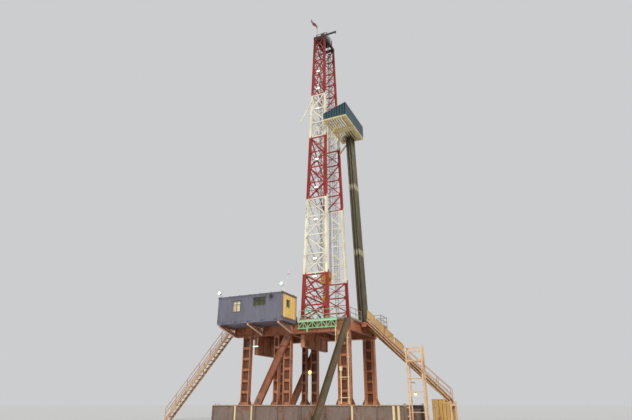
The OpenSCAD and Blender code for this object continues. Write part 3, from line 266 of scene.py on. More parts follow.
def painted(name, rgb, rust=0.3, dirt=0.3, rough=0.5, streak=0.35, metal=0.0, grain=0.25, pattern=None):
    """Old paint: uneven tone, rain streaks, rust in patches and along edges, dust on what faces up."""
    n = Nodes(name)
    base = linear(rgb)
    dark = [c * 0.55 for c in base]
    light = [min(1, c * 1.25 + 0.02) for c in base]
    large = n.noise(0.9, 5, 0.6)
    fine = n.noise(24)
    speck = n.noise(11, 8, 0.75)
    colour = n.mix(n.ramp(large, 0.35, 0.7), base, light)
    colour = n.mix(n.times(n.ramp(fine, 0.4, 0.75), 0.22), colour, dark)
    stripes = n.noise(3.2, 6, 0.65, n.scaled(2.2, 2.2, 0.22))
    colour = n.mix(n.times(n.ramp(stripes, 0.5, 0.72), streak), colour, dark)
    patch = n.noise(1.7, 10, 0.72, distortion=0.4)
    spots = n.plus(n.times(patch, 0.7), n.times(speck, 0.3))
    patches = n.ramp(spots, 0.66 - rust * 0.3, 0.72 - rust * 0.24)
    # an edge is worn where its rounded normal leaves the face's own
    edge = n.new("Bevel", samples=4, Radius=0.012)
    dot = n.new("VectorMath", operation="DOT_PRODUCT")
    n.link(edge.outputs["Normal"], dot.inputs[0])
    n.link(n.normal, dot.inputs[1])
    worn = n.times(n.ramp(dot.outputs["Value"], 0.995, 0.9), n.ramp(speck, 0.42, 0.6))
    rusty = n.math("MINIMUM", n.plus(patches, n.times(worn, 0.4 + rust)), 1.0)
    rust_colour = n.mix(n.ramp(fine, 0.35, 0.65), (92, 48, 28), (150, 84, 44))
    colour = n.mix(rusty, colour, rust_colour)
    dust = n.times(n.ramp(n.axis(n.normal, "Z"), 0.3, 0.95), n.ramp(large, 0.2, 0.7, 0.3, 1.0))
    colour = n.mix(n.times(dust, dirt), colour, (150, 134, 112))
    if pattern:
        colour = pattern(n, colour)
    n.surface(colour, {"Metallic": metal})
    n.link(n.ramp(rusty, 0, 1, rough, 0.85), n.shader.inputs["Roughness"])
    n.bump(n.plus(n.times(fine, 0.4), n.times(rusty, 0.6)), grain, 0.004)
    return n.mat


def plates(n, colour):
    """Seams between floor plates, and raised diamonds on them."""
    seams = {"Scale": 1.0, "Mortar Size": 0.006, "Brick Width": 1.25, "Row Height": 1.1}
    brick = n.new("TexBrick", offset=0.5, **seams)
    n.link(n.place, brick.inputs["Vector"])
    colour = n.mix(n.times(brick.outputs["Fac"], 0.8), colour, (30, 28, 26))
    marks = [n.wave(9.0, n.scaled(1, 1, 0, (0, 0, turn))) for turn in (0.785, -0.785)]
    lozenge = n.ramp(n.times(*marks), 0.55, 0.8)
    return n.mix(n.times(lozenge, 0.35), colour, (170, 164, 150))


def grating(n, colour):
    """Bars of a grating seen from above and below."""
    bars = [n.ramp(n.wave(scale, n.scaled(1, 1, 0, (0, 0, turn))), 0.35, 0.6)
            for turn, scale in ((0.0, 16.0), (1.5708, 6.0))]
    return n.mix(n.math("MAXIMUM", *bars), (34, 32, 30), colour)


RAMP_WEB = (5.594, 5.688)


def ramp_faces(n, colour):
    """The ramp: scratched on top along X, painted shade beneath, rusty side plates, painted highlights at
    their edges.
    """
    scratch = n.noise(5, 8, 0.7, n.scaled(0.5, 26, 0.5))
    colour = n.mix(n.times(n.ramp(scratch, 0.5, 0.68), 0.55), colour, (168, 160, 150))
    side = n.facing("Y")
    highlight_patches = n.ramp(n.noise(6), 0.3, 0.62, 0.45, 0.95)
    level = n.times(n.plus(n.at("X"), n.at("Z")), sqrt(0.5))
    low, high = RAMP_WEB
    edges = n.plus(n.ramp(level, high - 0.002, high + 0.002), n.ramp(level, low + 0.002, low - 0.002))
    colour = n.mix(side, colour, n.blotch(6, (92, 54, 38), (146, 96, 66)))
    # a painted highlight along the side plates' top and bottom edges, stronger in patches
    colour = n.mix(n.times(edges, highlight_patches), colour, (244, 208, 166))
    # painted shade on the faces that look down
    return n.mix(n.ramp(n.axis(n.normal, "Z"), -0.2, -0.6, 0, 0.7), colour, (46, 36, 30))


def leg_faces(n, colour):
    """Legs: painted highlights on outer faces, painted shade between plates, painted light on the far front
    one.
    """
    x, y, z = (n.at(letter) for letter in "XYZ")
    facing = n.facing("Y")
    height = n.times(n.ramp(z, 0.86, 0.9), n.ramp(z, 4.6, 4.56))
    inset = n.ramp(n.size(n.plus(x, 1.95)), 0.75, 0.72, 0.0, 0.245)
    depth = n.size(n.math("SUBTRACT", n.plus(n.size(y), inset), 2.05))
    mask = n.times(facing, height)
    # painted shade between the plates
    recess_shade = n.times(mask, n.ramp(depth, 0.06, 0.03, 0.0, 0.72))
    # a painted highlight on the outer faces
    face = n.times(mask, n.ramp(depth, 0.135, 0.145, 0.0, 0.6))
    colour = n.mix(recess_shade, colour, (66, 38, 28))
    colour = n.mix(face, colour, (216, 162, 124))
    # painted light on the far front leg, at its front and rear
    far = n.times(n.ramp(y, 1.8, 1.85), n.times(height, n.ramp(x, 1.5, 1.55)))
    pale = n.plus(n.ramp(x, 2.08, 2.12, 0.0, 0.6), n.ramp(x, 1.68, 1.66, 0.0, 0.6))
    return n.mix(n.times(far, pale), colour, (226, 152, 104))


def lit_base_flanges(n, colour):
    """The base beams' top flanges carry a painted highlight, broken up in patches."""
    top = n.times(n.ramp(n.at("Z"), 0.78, 0.8), n.ramp(n.noise(5), 0.3, 0.6, 0.35, 0.75))
    return n.mix(top, colour, (198, 166, 134))


def shaded_bracket_webs(n, colour):
    """The brackets' webs, the faces that look along X, painted darker and redder than their flanges: painted
    shade.
    """
    return n.mix(n.times(n.facing("X"), 0.8), colour, n.blotch(7, (84, 42, 34), (132, 72, 52)))


def pale_below(n, colour):
    """Paler colour on the undersides, the faces that look down."""
    below = n.ramp(n.axis(n.normal, "Z"), -0.3, -0.8, 0, 0.75)
    return n.mix(below, colour, (232, 214, 160))


def top_shade(n, colour):
    """Painted shade on the mast's topmost bays, in patches."""
    high = n.ramp(n.at("Z"), 24.3, 26.3)
    patches = n.ramp(n.noise(1.6, 8, 0.7, n.scaled(1, 1, 0.4)), 0.25, 0.6, 0.3, 0.8)
    return n.mix(n.times(high, patches), colour, (44, 26, 24))


def pale_top(n, colour):
    """The near edge's top chord is paler than its truss and railing."""
    z = n.at("Z")
    top = n.times(n.ramp(z, 5.17, 5.2), n.ramp(z, 5.29, 5.27, 0.0, 0.6))
    return n.mix(top, colour, (218, 230, 200))


def stand_faces(n, colour):
    """The ramp foot's stand: its outer post a paler coat than its screens."""
    post = n.ramp(n.at("X"), 6.93, 6.94)
    return n.mix(post, colour, n.blotch(5, (238, 206, 160), (206, 160, 114)))


def glowing(name, rgb, strength):
    """A lamp's lens with a pattern of flutes."""
    n = Nodes(name)
    colour = n.mix(n.times(n.wave(30.0), 0.3), rgb, [c * 0.7 for c in linear(rgb)])
    n.surface(colour, {"Emission Strength": strength, "Roughness": 0.3}, glow=True)
    return n.mat


def lit_window_pane():
    """Glass painted as giving off a little light: pale in the rear window, dark in the others, in soft
    patches.
    """
    n = Nodes("lit_window_pane")
    pale = n.blotch(3, (196, 176, 128), (236, 224, 190))
    dark = n.blotch(3, (52, 56, 34), (96, 98, 62))
    colour = n.mix(n.ramp(n.at("X"), -3.3, -3.2), pale, dark)
    numbers = {"Emission Strength": 0.25, "Roughness": 0.08, "Transmission Weight": 0.35, "Coat Weight": 0.5}
    n.surface(colour, numbers, glow=True)
    return n.mat


def rope_steel():
    n = Nodes("rope_strands")
    strands = n.wave(22.0, n.scaled(1, 1, 1, (0.5, 0.5, 0)), 0.5)
    colour = n.mix(strands, (38, 35, 32), (96, 90, 82))
    n.surface(colour, {"Metallic": 0.6, "Roughness": 0.45})
    n.bump(strands, 0.5, 0.004)
    return n.mat


PIPE_JOINT = 4.646


def pipe_steel():
    """Drill pipe: oily brown steel with a lighter tool joint at the foot of each pipe."""
    n = Nodes("drill_pipe_steel")
    along = n.math("MODULO", n.math("SUBTRACT", n.at("Z"), FLOOR - 0.2), PIPE_JOINT)
    joint = n.times(n.ramp(along, 0.42, 0.38), n.ramp(along, 0.0, 0.03))
    fine = n.noise(18, 8, 0.7)
    long_marks = n.noise(4, at=n.scaled(8, 8, 0.3))
    colour = n.mix(n.ramp(long_marks, 0.35, 0.7), (60, 56, 42), (112, 104, 78))
    colour = n.mix(n.times(n.ramp(fine, 0.5, 0.8), 0.6), colour, (96, 56, 32))
    colour = n.mix(n.times(joint, 0.7), colour, (168, 156, 128))
    n.surface(colour, {"Metallic": 0.45, "Roughness": 0.42})
    n.bump(fine, 0.25, 0.003)
    return n.mat


def flag_cloth():
    n = Nodes("flag_cloth")
    weave = n.wave(160.0)
    colour = n.mix(n.ramp(n.noise(4, 5, 0.6), 0.3, 0.75), (96, 26, 34), (132, 44, 46))
    colour = n.mix(n.times(weave, 0.25), colour, (60, 18, 26))
    n.surface(colour, {"Roughness": 0.85, "Sheen Weight": 0.3})
    n.bump(weave, 0.2, 0.001)
    return n.mat


MATS = {
    "base_steel": painted("base_steel_paint", (124, 106, 94), rust=0.5, dirt=0.6, streak=0.5,
                          pattern=lit_base_flanges),
    "leg_steel": painted("leg_paint", (172, 106, 70), rust=0.5, dirt=0.35, streak=0.45, pattern=leg_faces),
    # the brackets' pale salmon is painted light, the lit look of their flanges
    "bracket_paint": painted("bracket_paint", (238, 192, 166), rust=0.25, dirt=0.25, pattern=shaded_bracket_webs),
    # dark: painted shade, as on the mast's topmost bays
    "crown_paint": painted("crown_paint", (62, 46, 40), rust=0.35),
    "deck_steel": painted("deck_plate", (112, 106, 96), rust=0.45, dirt=0.5, metal=0.2, pattern=plates),
    "bare_steel": painted("galvanised_steel", (160, 152, 138), rust=0.35, metal=0.35, rough=0.45),
    "cast_steel": painted("cast_steel_faces", (92, 88, 84), rust=0.4, dirt=0.4, metal=0.4, grain=0.5),
    "green_paint": painted("green_rail_paint", (138, 190, 142), dirt=0.25, pattern=pale_top),
    # the cabin's grey is darkened to the look of its unlit walls: painted shade
    "cabin_paint": painted("cabin_sheet_shaded_paint", (102, 102, 116), rust=0.22, streak=0.5),
    "cabin_end_paint": painted("cabin_end_paint", (240, 198, 118), rust=0.2, dirt=0.25, streak=0.4),
    "window_glass": lit_window_pane(),
    "stair_paint": painted("stair_paint", (192, 148, 96), rust=0.45, dirt=0.35),
    "ramp_steel": painted("ramp_plate", (142, 108, 78), rust=0.45, dirt=0.35, metal=0.2, pattern=ramp_faces),
    "slide_steel": painted("slide_plate", (92, 80, 54), rust=0.4, metal=0.2),
    "mast_red": painted("mast_red_paint", (158, 42, 34), dirt=0.25, pattern=top_shade),
    "mast_white": painted("mast_white_paint", (232, 226, 206), rust=0.32, dirt=0.2, streak=0.4),
    "board_paint": painted("board_paint", (206, 188, 134), rust=0.35, pattern=pale_below),
    "wind_wall_paint": painted("wind_wall_sheet", (38, 70, 82), rust=0.2, dirt=0.25),
    "pipe_steel": pipe_steel(),
    "block_paint": painted("block_paint", (196, 160, 52), rust=0.35),
    "rope": rope_steel(),
    "drawworks_paint": painted("drawworks_paint", (64, 88, 112), dirt=0.4),
    "cloth": flag_cloth(),
    "lamp_shell": painted("lamp_shell_paint", (206, 206, 196), rust=0.25, dirt=0.25, rough=0.4),
}
GRATE = painted("stair_grating", (120, 112, 100), rust=0.45, metal=0.3, pattern=grating)
PANEL = painted("stair_panel_sheet", (196, 164, 110), rust=0.35, streak=0.45)
TOWER = painted("tower_paint", (224, 188, 144), rust=0.35)
STRUT = painted("strut_paint", (150, 90, 62), rust=0.5, dirt=0.4, streak=0.45)
STAND = painted("stand_paint", (192, 154, 86), rust=0.4, dirt=0.35, pattern=stand_faces)
CREAM = painted("cream_post_paint", (226, 204, 158), dirt=0.25)
LENS_WHITE = glowing("lamp_lens_white", (255, 250, 228), 2.2)
LENS_AMBER = glowing("lamp_lens_amber", (255, 214, 120), 2.2)
LENS_GREEN = glowing("lamp_lens_green", (190, 255, 214), 2.0)
BEACON = painted("beacon_glass", (236, 196, 206), rust=0.05, dirt=0.15, rough=0.3)
DARK = painted("dark_rubber_paint", (40, 38, 38), rust=0.1, rough=0.7)

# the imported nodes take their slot's material, or their own
OWN = {"rear_stair_treads": GRATE, "ramp_stair_treads": GRATE, "ramp_stair_panels": PANEL,
       "ramp_foot_stand": STAND, "service_tower": TOWER, "side_struts": STRUT}
slot_of = {s["node"]: s["material_slot"] for s in frame["record"]["subparts"]}
for name, obj in frame["nodes"].items():
    mat = OWN.get(name, MATS[slot_of[name]])
    if obj.material_slots:
        for s in obj.material_slots:
            s.material = mat
    else:
        obj.data.materials.append(mat)


def placed(name, data):
    """A new object in the scene."""
    obj = bpy.data.objects.new(name, data)
    bpy.context.scene.collection.objects.link(obj)
    return obj


def mesh_object(name, verts, faces, mat, smooth=False):
    mesh = bpy.data.meshes.new(name)
    mesh.from_pydata([tuple(p) for p in verts], [], faces)
    mesh.validate()
    mesh.materials.append(mat)
    for p in mesh.polygons:
        p.use_smooth = smooth
    return placed(name, mesh)


class Build:
    """Collects many small solids into one mesh. Their points count from its origin."""

    def __init__(self, origin=(0, 0, 0)):
        self.origin = Vector(origin)
        self.v, self.f = [], []

    def prism(self, outline, step):
        """A closed prism: an outline of points and the same outline moved by step."""
        i, n = len(self.v), len(outline)
        self.v += [Vector(p) for p in outline] + [Vector(p) + Vector(step) for p in outline]
        self.f.append([i + k for k in reversed(range(n))])
        self.f.append([i + n + k for k in range(n)])
        self.f += [[i + k, i + (k + 1) % n, i + n + (k + 1) % n, i + n + k] for k in range(n)]

    def box(self, xs, ys, zs):
        """A box with its two faces on each axis, in either order."""
        (a, d), (b, e), (c, f) = sorted(xs), sorted(ys), sorted(zs)
        self.prism([(a, b, c), (d, b, c), (d, e, c), (a, e, c)], (0, 0, f - c))

    def bar(self, p, q, w, t, face):
        """A bar from p to q, w wide along the plane that face is normal to, and t thick along face."""
        p, q, face = Vector(p), Vector(q), Vector(face).normalized()
        across = (q - p).cross(face).normalized() * w / 2
        low = -face * t / 2
        self.prism([p - across + low, q - across + low, q + across + low, p + across + low], face * t)

    def rod(self, p, q, r, n):
        p, q = Vector(p), Vector(q)
        d = (q - p).normalized()
        a = d.orthogonal().normalized()
        self.prism(ring(p, r * a, r * d.cross(a), n), q - p)

    def bolt(self, p, axis, r, h):
        """A hexagon head on a washer."""
        p, axis = Vector(p), Vector(axis).normalized()
        self.rod(p, p + axis * h * 0.3, r * 1.4, 8)
        self.rod(p, p + axis * h, r, 6)

    def bolts(self, places, axis, r, h):
        for p in places:
            self.bolt(p, axis, r, h)

    def tube(self, points, r, n, closed=False):
        """A swept tube along points, with closed ends."""
        pts = [Vector(p) for p in points]
        start, m = len(self.v), len(pts)
        up = None
        for k, p in enumerate(pts):
            before = pts[k - 1] if k or closed else p
            after = pts[(k + 1) % m] if k < m - 1 or closed else p
            d = (after - before).normalized()
            up = d.orthogonal().normalized() if up is None else (up - d * up.dot(d)).normalized()
            self.v += ring(p, r * up, r * d.cross(up), n)
        for k in range(m if closed else m - 1):
            a, b = start + k * n, start + ((k + 1) % m) * n
            self.f += [[a + j, a + (j + 1) % n, b + (j + 1) % n, b + j] for j in range(n)]
        if not closed:
            self.f.append([start + j for j in reversed(range(n))])
            self.f.append([start + (m - 1) * n + j for j in range(n)])

    def done(self, name, slot, mat=None, smooth=False, bevel=0.0):
        """Makes the piece, in its slot's material if it has none of its own."""
        points = [p + self.origin for p in self.v]
        obj = mesh_object(name, points, self.f, mat or MATS[slot], smooth)
        if bevel:
            mod = obj.modifiers.new("soft_edges", "BEVEL")
            mod.width, mod.segments, mod.limit_method = bevel, 2, "ANGLE"
        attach(obj, "root")


# mast: gussets, splices, finer bracing
GUSSET = 0.15
GUSSET_T = 0.008
GUSSET_FACE = BRACE_T / 2 + 0.004


def side_gussets(sheet, bolts, i, side, low, high):
    """Gussets on both faces of a side panel, at its chords on each bay line, bolted on the outside."""
    out = outward(side)
    for h in (bay_line(i, k) for k in range(BAYS[i] + 1)):
        if h < low:
            continue
        x, tip = clear_half(h) + 0.001, clear_half(h) - GUSSET * 0.7
        corners = [(x, min(high, h + GUSSET)), (x, max(low, h - GUSSET)),
                   (tip, max(low, h - GUSSET * 0.45)), (tip, min(high, h + GUSSET * 0.45))]
        for s in (-1, 1):
            for layer in (1, -1):
                outline = [on_side(s * a, b, layer * GUSSET_FACE, side) for a, b in corners]
                sheet.prism(outline, out * layer * GUSSET_T)
            for dx, dh in ((0.03, 0.09), (0.03, -0.09), (0.08, 0.04), (0.08, -0.04), (0.03, 0)):
                level = min(high - 0.02, max(low + 0.02, h + dh))
                place = on_side(s * (clear_half(h) - dx), level, GUSSET_FACE + GUSSET_T, side)
                bolts.bolt(place, out, 0.011, 0.011)


def side_bracing(fine, i, side, low):
    """A lighter diagonal crossing each main one, and a light strut at mid height."""
    out = outward(side)
    for k in range(BAYS[i]):
        a = low if k == 0 else bay_line(i, k)
        b = bay_line(i, k + 1)
        m = (a + b) / 2
        turn = 1 if k % 2 == 0 else -1
        for p, q in (((turn * clear_half(a), a + 0.03), (-turn * clear_half(b), b - 0.03)),
                     ((-clear_half(m), m), (clear_half(m), m))):
            fine.bar(on_side(*p, 0, side), on_side(*q, 0, side), 0.034, 0.03, out)


def splices(sheet, bolts, side, h):
    """Bolted plates on both edges of a side panel's chords, where two sections meet."""
    for s, edge in product((-1, 1), (-1, 1)):
        p = on_side(s * half_depth(h) + edge * (chord_half(h) + 0.006), h, 0, side)
        sheet.bar(p - Z * 0.16, p + Z * 0.16, CHORD_T * 0.9, 0.012, X)
        for dz, dy in product((-0.12, -0.07, 0.07, 0.12), (-0.045, 0.045)):
            bolts.bolt(p + Z * dz + Y * dy + X * edge * 0.006, X * edge, 0.013, 0.013)


def back_bracing(sheet, fine, i, low, high):
    """Struts, light crosses and diamond plates of the back panel."""
    crosses = ceil(BAYS[i] / 2)
    bay = (high - low) / crosses
    for k in range(crosses):
        a, b = low + k * bay, low + (k + 1) * bay
        m = (a + b) / 2
        w = taper(BASE_WIDTH, TOP_WIDTH, m) - 0.12
        fine.bar(on_back(-w, m, 0), on_back(w, m, 0), 0.04, 0.034, X)
        for s, end in product((-1, 1), (a + 0.06, b - 0.06)):
            fine.bar(on_back(s * w, m, 0), on_back(0, end, 0), 0.03, 0.026, X)
        diamond = ((-0.12, m), (0, m - 0.12), (0.12, m), (0, m + 0.12))
        sheet.prism([on_back(y, h, 0.036) for y, h in diamond], -X * 0.008)


SHOE_TOP = 0.38
for i in range(len(BAYS)):
    colour = "mast_red" if i % 2 == 0 else "mast_white"
    sheet, fine, bolts = Build(), Build(), Build()
    low, high = STARTS[i] or SHOE_TOP, STARTS[i + 1]
    for side in (-1, 1):
        side_gussets(sheet, bolts, i, side, low, high)
        side_bracing(fine, i, side, low)
        if high < MAST_H:
            splices(sheet, bolts, side, high)
    back_bracing(sheet, fine, i, low, high)
    sheet.done(f"mast_gussets_{i + 1}", colour, bevel=0.002)
    fine.done(f"mast_fine_bracing_{i + 1}", colour)
    bolts.done(f"mast_bolts_{i + 1}", "bare_steel")

# lamps in the mast: lenses and guard bars; each lamp has its section, bay line, side and drop below the line
LAMPS = [(0, 3, -1, 0.12), (1, 1, -1, 0.3), (1, 3, -1, 0.24), (2, 1, -1, 0.4),
         (2, 3, -1, 0.62), (3, 2, -1, 0.04), (4, 1, -1, 0.54), (4, 2, -1, 0.04),
         (0, 3, 1, 0.64), (1, 3, 1, 0.76), (2, 3, 1, 0.74), (3, 1, 1, 0.52)]
LAMP_H, LAMP_HALF = 0.13, 0.13
LAMP_FACE = BRACE_T / 2 + 0.0113 + 0.1
lens, guard = Build(), Build()
for i, k, side, drop in LAMPS:
    low = bay_line(i, k) - drop - LAMP_H
    out = outward(side)
    pane = [(-0.112, 0.018), (0.112, 0.018), (0.112, 0.112), (-0.112, 0.112)]
    lens.prism([on_side(x, low + z, LAMP_FACE, side) for x, z in pane], out * 0.008)
    for z in (low, low + LAMP_H):
        ends = [on_side(x, z, LAMP_FACE + 0.006, side) for x in (-LAMP_HALF, LAMP_HALF)]
        guard.bar(*ends, 0.02, 0.02, out)
    for x in spread(-LAMP_HALF, LAMP_HALF, 5):
        ends = [on_side(x, z, LAMP_FACE + 0.014, side) for z in (low, low + LAMP_H)]
        guard.bar(*ends, 0.006, 0.006, out)
lens.done("mast_lamp_lenses", "lamp_shell", LENS_WHITE)
guard.done("mast_lamp_guards", "bare_steel")


# ladder cage
def hoop_point(a, h):
    """A point of the cage at h above the floor, a radians round its hoop."""
    return on_side(0.2 * cos(a), h, CHORD_T / 2 + 0.085 + 0.26 * sin(a), 1)


HOOP_GAP = 0.25
cage = Build()
for k in range(9, 84):
    cage.tube([hoop_point(pi * j / 8, k * HOOP_GAP) for j in range(9)], 0.006, 5)
for a in (30, 60, 90, 120, 150):
    cage.rod(*[hoop_point(radians(a), k * HOOP_GAP) for k in (9, 83)], 0.006, 5)
cage.done("ladder_cage", "bare_steel", smooth=True)

# crown, from its axle
crown, guards = (Build((0, 0, CROWN_AXLE)) for _ in range(2))
for s in (-1, 1):
    crown.bolts(grid(s * 0.38 + 0.075, spread(-0.9, 0.9, 9), -0.34), X * s, 0.016, 0.016)
    crown.bolts(grid((-0.1, 0.1), about(s * 0.32, 0.028), 0.1), Z, 0.012, 0.03)
    crown.rod((0, s * 0.36, 0), (0, s * 0.375, 0), 0.085, 24)
crown.done("crown_bolts", "bare_steel")
GUARD_R, GUARD_Y = 0.36, 0.245
bow = arc((0, 0, 0), X * GUARD_R, Z * GUARD_R, pi, 16)
for y in (-GUARD_Y, GUARD_Y):
    guards.tube([p + Y * y for p in bow], 0.014, 6)
for p in bow[2:15:3]:
    guards.rod(p - Y * GUARD_Y, p + Y * GUARD_Y, 0.01, 6)
guards.done("sheave_guards", "crown_paint", smooth=True)

# ropes: the turns over and under the sheaves, and the wraps on the drum
ROPE_R = 0.009
GROOVE = 0.304 + ROPE_R
SHEAVE_GAP = 0.096
DRUM = Vector((-2.92, 0, FLOOR + 0.62))
DRUM_R, DRUM_HALF = 0.24, 0.72
WRAPS, STEPS = 62, 14
ropes = Build()
for sheaves, axle, turn in ((5, CROWN_AXLE, pi), (4, BLOCK_AXLE, -pi)):
    for j in range(sheaves):
        y = (j - (sheaves - 1) / 2) * SHEAVE_GAP
        ropes.tube(arc((0, y, axle), X * GROOVE, Z * GROOVE, turn, 20), ROPE_R, 8)
turns = []
for t in range(WRAPS * STEPS):
    a = 2 * pi * t / STEPS
    y = DRUM_HALF * (2 * t / (WRAPS * STEPS) - 1)
    turns.append(DRUM + Vector((DRUM_R * cos(a), y, DRUM_R * sin(a))))
ropes.tube(turns, 0.0105, 6)
ropes.done("rope_turns", "rope", smooth=True)

# racking board, from the rear of its walkway's top: ribs of the wind walls, which slope up to the front
BOARD = Vector((0.656, 0, FLOOR + 13.35))
BOARD_L, BOARD_HALF = 1.594, 1.72
WALL_LOW, WALL_HIGH = 0.48, 0.95
board, latch, walkway, deck = (Build(BOARD) for _ in range(4))
for s in (-1, 1):
    y = s * BOARD_HALF
    # the near side's ribs go through the sheet
    start = y - 0.03 if s > 0 else y
    for x in spread(0.03, BOARD_L - 0.06, 9):
        top = WALL_LOW + (WALL_HIGH - WALL_LOW) * x / (BOARD_L - 0.03)
        board.box(about(x, 0.02), (start, y - s * 0.052), (0.001, top))
    board.bar((0.03, y - s * 0.041, 0.47), (BOARD_L - 0.04, y - s * 0.041, 0.925), 0.04, 0.02, Y)
for y in spread(-1.65, 1.65, 15):
    board.box((BOARD_L - 0.052, BOARD_L - 0.03), about(y, 0.02), (0.001, WALL_HIGH))
for z in (0.05, 0.5, 0.91):
    board.box((BOARD_L - 0.06, BOARD_L - 0.03), (-1.66, 1.66), thick(z, 0.03))
board.done("wind_wall_ribs", "wind_wall_paint")
for s in (-1, 1):
    for k, j in product(range(7), range(8)):
        x, y = 0.17 + k * 0.17, s * (0.34 + j * 0.165)
        latch.box((x - 0.006, x + 0.066), about(y, 0.035), (0, 0.022))
        latch.rod((x + 0.03, y, 0.02), (x + 0.03, y, 0.06), 0.008, 6)
    latch.bolts(grid((0.055, BOARD_L - 0.055), spread(s * 0.1, s * 1.6, 11), 0), Z, 0.012, 0.012)
latch.done("finger_latches", "bare_steel")
walkway.box((0.12, BOARD_L - 0.12), (-0.26, 0.26), (0.0005, 0.012))
walkway.done("board_walkway_grating", "deck_steel", GRATE)
# plates on both sides between the last fingers and the front beam, on angles
for s in (-1, 1):
    for k in range(4):
        y = 0.275 + k * 0.33
        deck.box((1.262, BOARD_L - 0.108), (s * y, s * (y + 0.322)), (-0.03, -0.018))
    for x in (1.28, BOARD_L - 0.128):
        deck.box(about(x, 0.015), (s * 0.255, s * 1.66), (-0.06, -0.03))
deck.done("board_front_plates", "board_paint", bevel=0.002)

# block and hook, from the block's axle
HOOK = -1.46
SPRING_R = 0.165
block, spring = (Build((0, 0, BLOCK_AXLE)) for _ in range(2))
for s in (-1, 1):
    face = Y * s * 0.242
    block.rod(face, face + Y * s * 0.018, 0.09, 24)
    block.bolts(ring(face, X * 0.22, Z * 0.22, 10), Y * s, 0.014, 0.014)
    block.bolts(grid((-0.18, 0, 0.18), face.y, -0.5), Y * s, 0.018, 0.018)
block.done("block_bolts", "bare_steel")
angles = [0.35 * k for k in range(126)]
spring.tube([(SPRING_R * cos(a), SPRING_R * sin(a), HOOK + 0.46 + 0.4 * a / 44) for a in angles], 0.012, 6)
spring.tube([(x, 0, HOOK + z) for x, z in ((0.21, 0.19), (0.24, 0.1), (0.235, 0.02), (0.2, -0.04))], 0.022, 8)
spring.done("hook_spring_and_latch", "cast_steel", smooth=True)

# drawworks, from the rear of its foot: bolts and louvres on its ends, fins on its guard
draw = Build((-4.0, 0, FLOOR))
for s in (-1, 1):
    draw.bolts(grid(spread(0.15, 1.35, 11), s * 1.24, 0.17), Y * s, 0.012, 0.01)
    for k in range(7):
        draw.box((0.35, 1.05), (s * 1.2402, s * 1.2482), thick(0.42 + k * 0.06, 0.025))
    draw.box((0.4, 0.7), about(s * 1.03, 0.15), (1.06, 1.075))
for y in spread(-0.6, 0.6, 16):
    draw.rod((0.36, y - 0.006, 0.47), (0.36, y + 0.006, 0.47), 0.272, 32)
draw.done("drawworks_fins_and_louvres", "drawworks_paint", bevel=0.002)
# bands round the drum's brake rims
BAND_R = 0.436
brake = Build(DRUM)
for s in (-1, 1):
    middle = Y * s * 0.77
    band = ring(middle, X * BAND_R, Z * BAND_R, 48)[:41]
    for a, b in zip(band, band[1:]):
        brake.bar(a, b, 0.04, 0.008, (a + b) / 2 - middle)
    end = middle + X * 0.43
    brake.rod(end - Z * 0.1, end - Z * 0.5, 0.014, 8)
brake.done("brake_bands", "bare_steel")

# cabin, from the rear near corner of its foot: corner angles, strips along foot and top, the doorway's frame
TRIM, TRIM_W = 0.006, 0.07
DOOR_REAR, DOOR_FRONT = 3.175, 3.64
cabin, bars, rivets, edges = (Build(CABIN) for _ in range(4))
for (x, sx), (y, sy) in product(((0, -1), (CABIN_L, 1)), ((0, -1), (CABIN_W, 1))):
    cabin.box((x, x + sx * TRIM), (y, y - sy * TRIM_W), (0, CABIN_H))
    cabin.box((x, x - sx * TRIM_W), (y, y + sy * TRIM), (0, CABIN_H))
for strip in ((0, TRIM_W), (CABIN_H - TRIM_W, CABIN_H)):
    cabin.box((0, CABIN_L), (-TRIM, 0), strip)
    cabin.box(thick(CABIN_L, TRIM), (0, CABIN_W), strip)
    cabin.box((-TRIM, 0), (0, CABIN_W), strip)
for xs in ((0, DOOR_REAR - 0.005), (DOOR_FRONT, CABIN_L)):
    cabin.box(xs, thick(CABIN_W, TRIM), (0, TRIM_W))
for x in (DOOR_REAR, DOOR_FRONT):
    cabin.box((x - 0.02, x), thick(CABIN_W, 0.008), (0, 1.04))
cabin.box((DOOR_REAR - 0.02, DOOR_FRONT), thick(CABIN_W, 0.008), (1.02, 1.05))
# rain hoods and bars of the near windows: each has its start, sill, width and height
WINDOWS = ((1.04, 0.54, 0.47, 0.56), (2.38, 0.77, 0.78, 0.43))
HOOD = ((-0.008, 0.035), (-0.06, 0.02), (-0.06, 0.028), (-0.008, 0.05))
for start, sill, width, height in WINDOWS:
    end, top, cross = start + width, sill + height, sill + height * 0.64
    cabin.prism([(start - 0.05, y, top + z) for y, z in HOOD], (width + 0.1, 0, 0))
    bars.box(about((start + end) / 2, 0.012), (0.008, 0.024), (sill, top))
    bars.box((start, end), (0.008, 0.024), thick(cross, 0.02))
    for k in range(5):
        z = sill + height * (k + 0.5) / 5
        bars.rod((start - 0.02, -0.016, z), (end + 0.02, -0.016, z), 0.005, 6)
# the front window's cross bars
for ys, zs in (((0.63, 0.65), (0.64, 1.06)), ((0.43, 0.85), (0.84, 0.86))):
    bars.box(about(CABIN_L - 0.016, 0.008), ys, zs)
# lifting lugs on the roof, and a louvre in the rear end
for x, y in product((0.12, CABIN_L - 0.12), (0.12, CABIN_W - 0.12)):
    cabin.tube(arc((x, y, CABIN_H + 0.064), X * 0.05, Z * 0.06, pi, 10), 0.012, 6)
for k in range(8):
    slat = ((-0.008, 0.85), (-0.035, 0.83), (-0.008, 0.862))
    cabin.prism([(x, 0.5, z + 0.045 * k) for x, z in slat], (0, 0.42, 0))
cabin.done("cabin_trim", "cabin_paint")
bars.done("window_bars", "cabin_paint", DARK)


def rivet(x, y, z, out):
    p = Vector((x, y, z))
    rivets.rod(p + out * TRIM, p + out * (TRIM + 0.004), 0.008, 6)


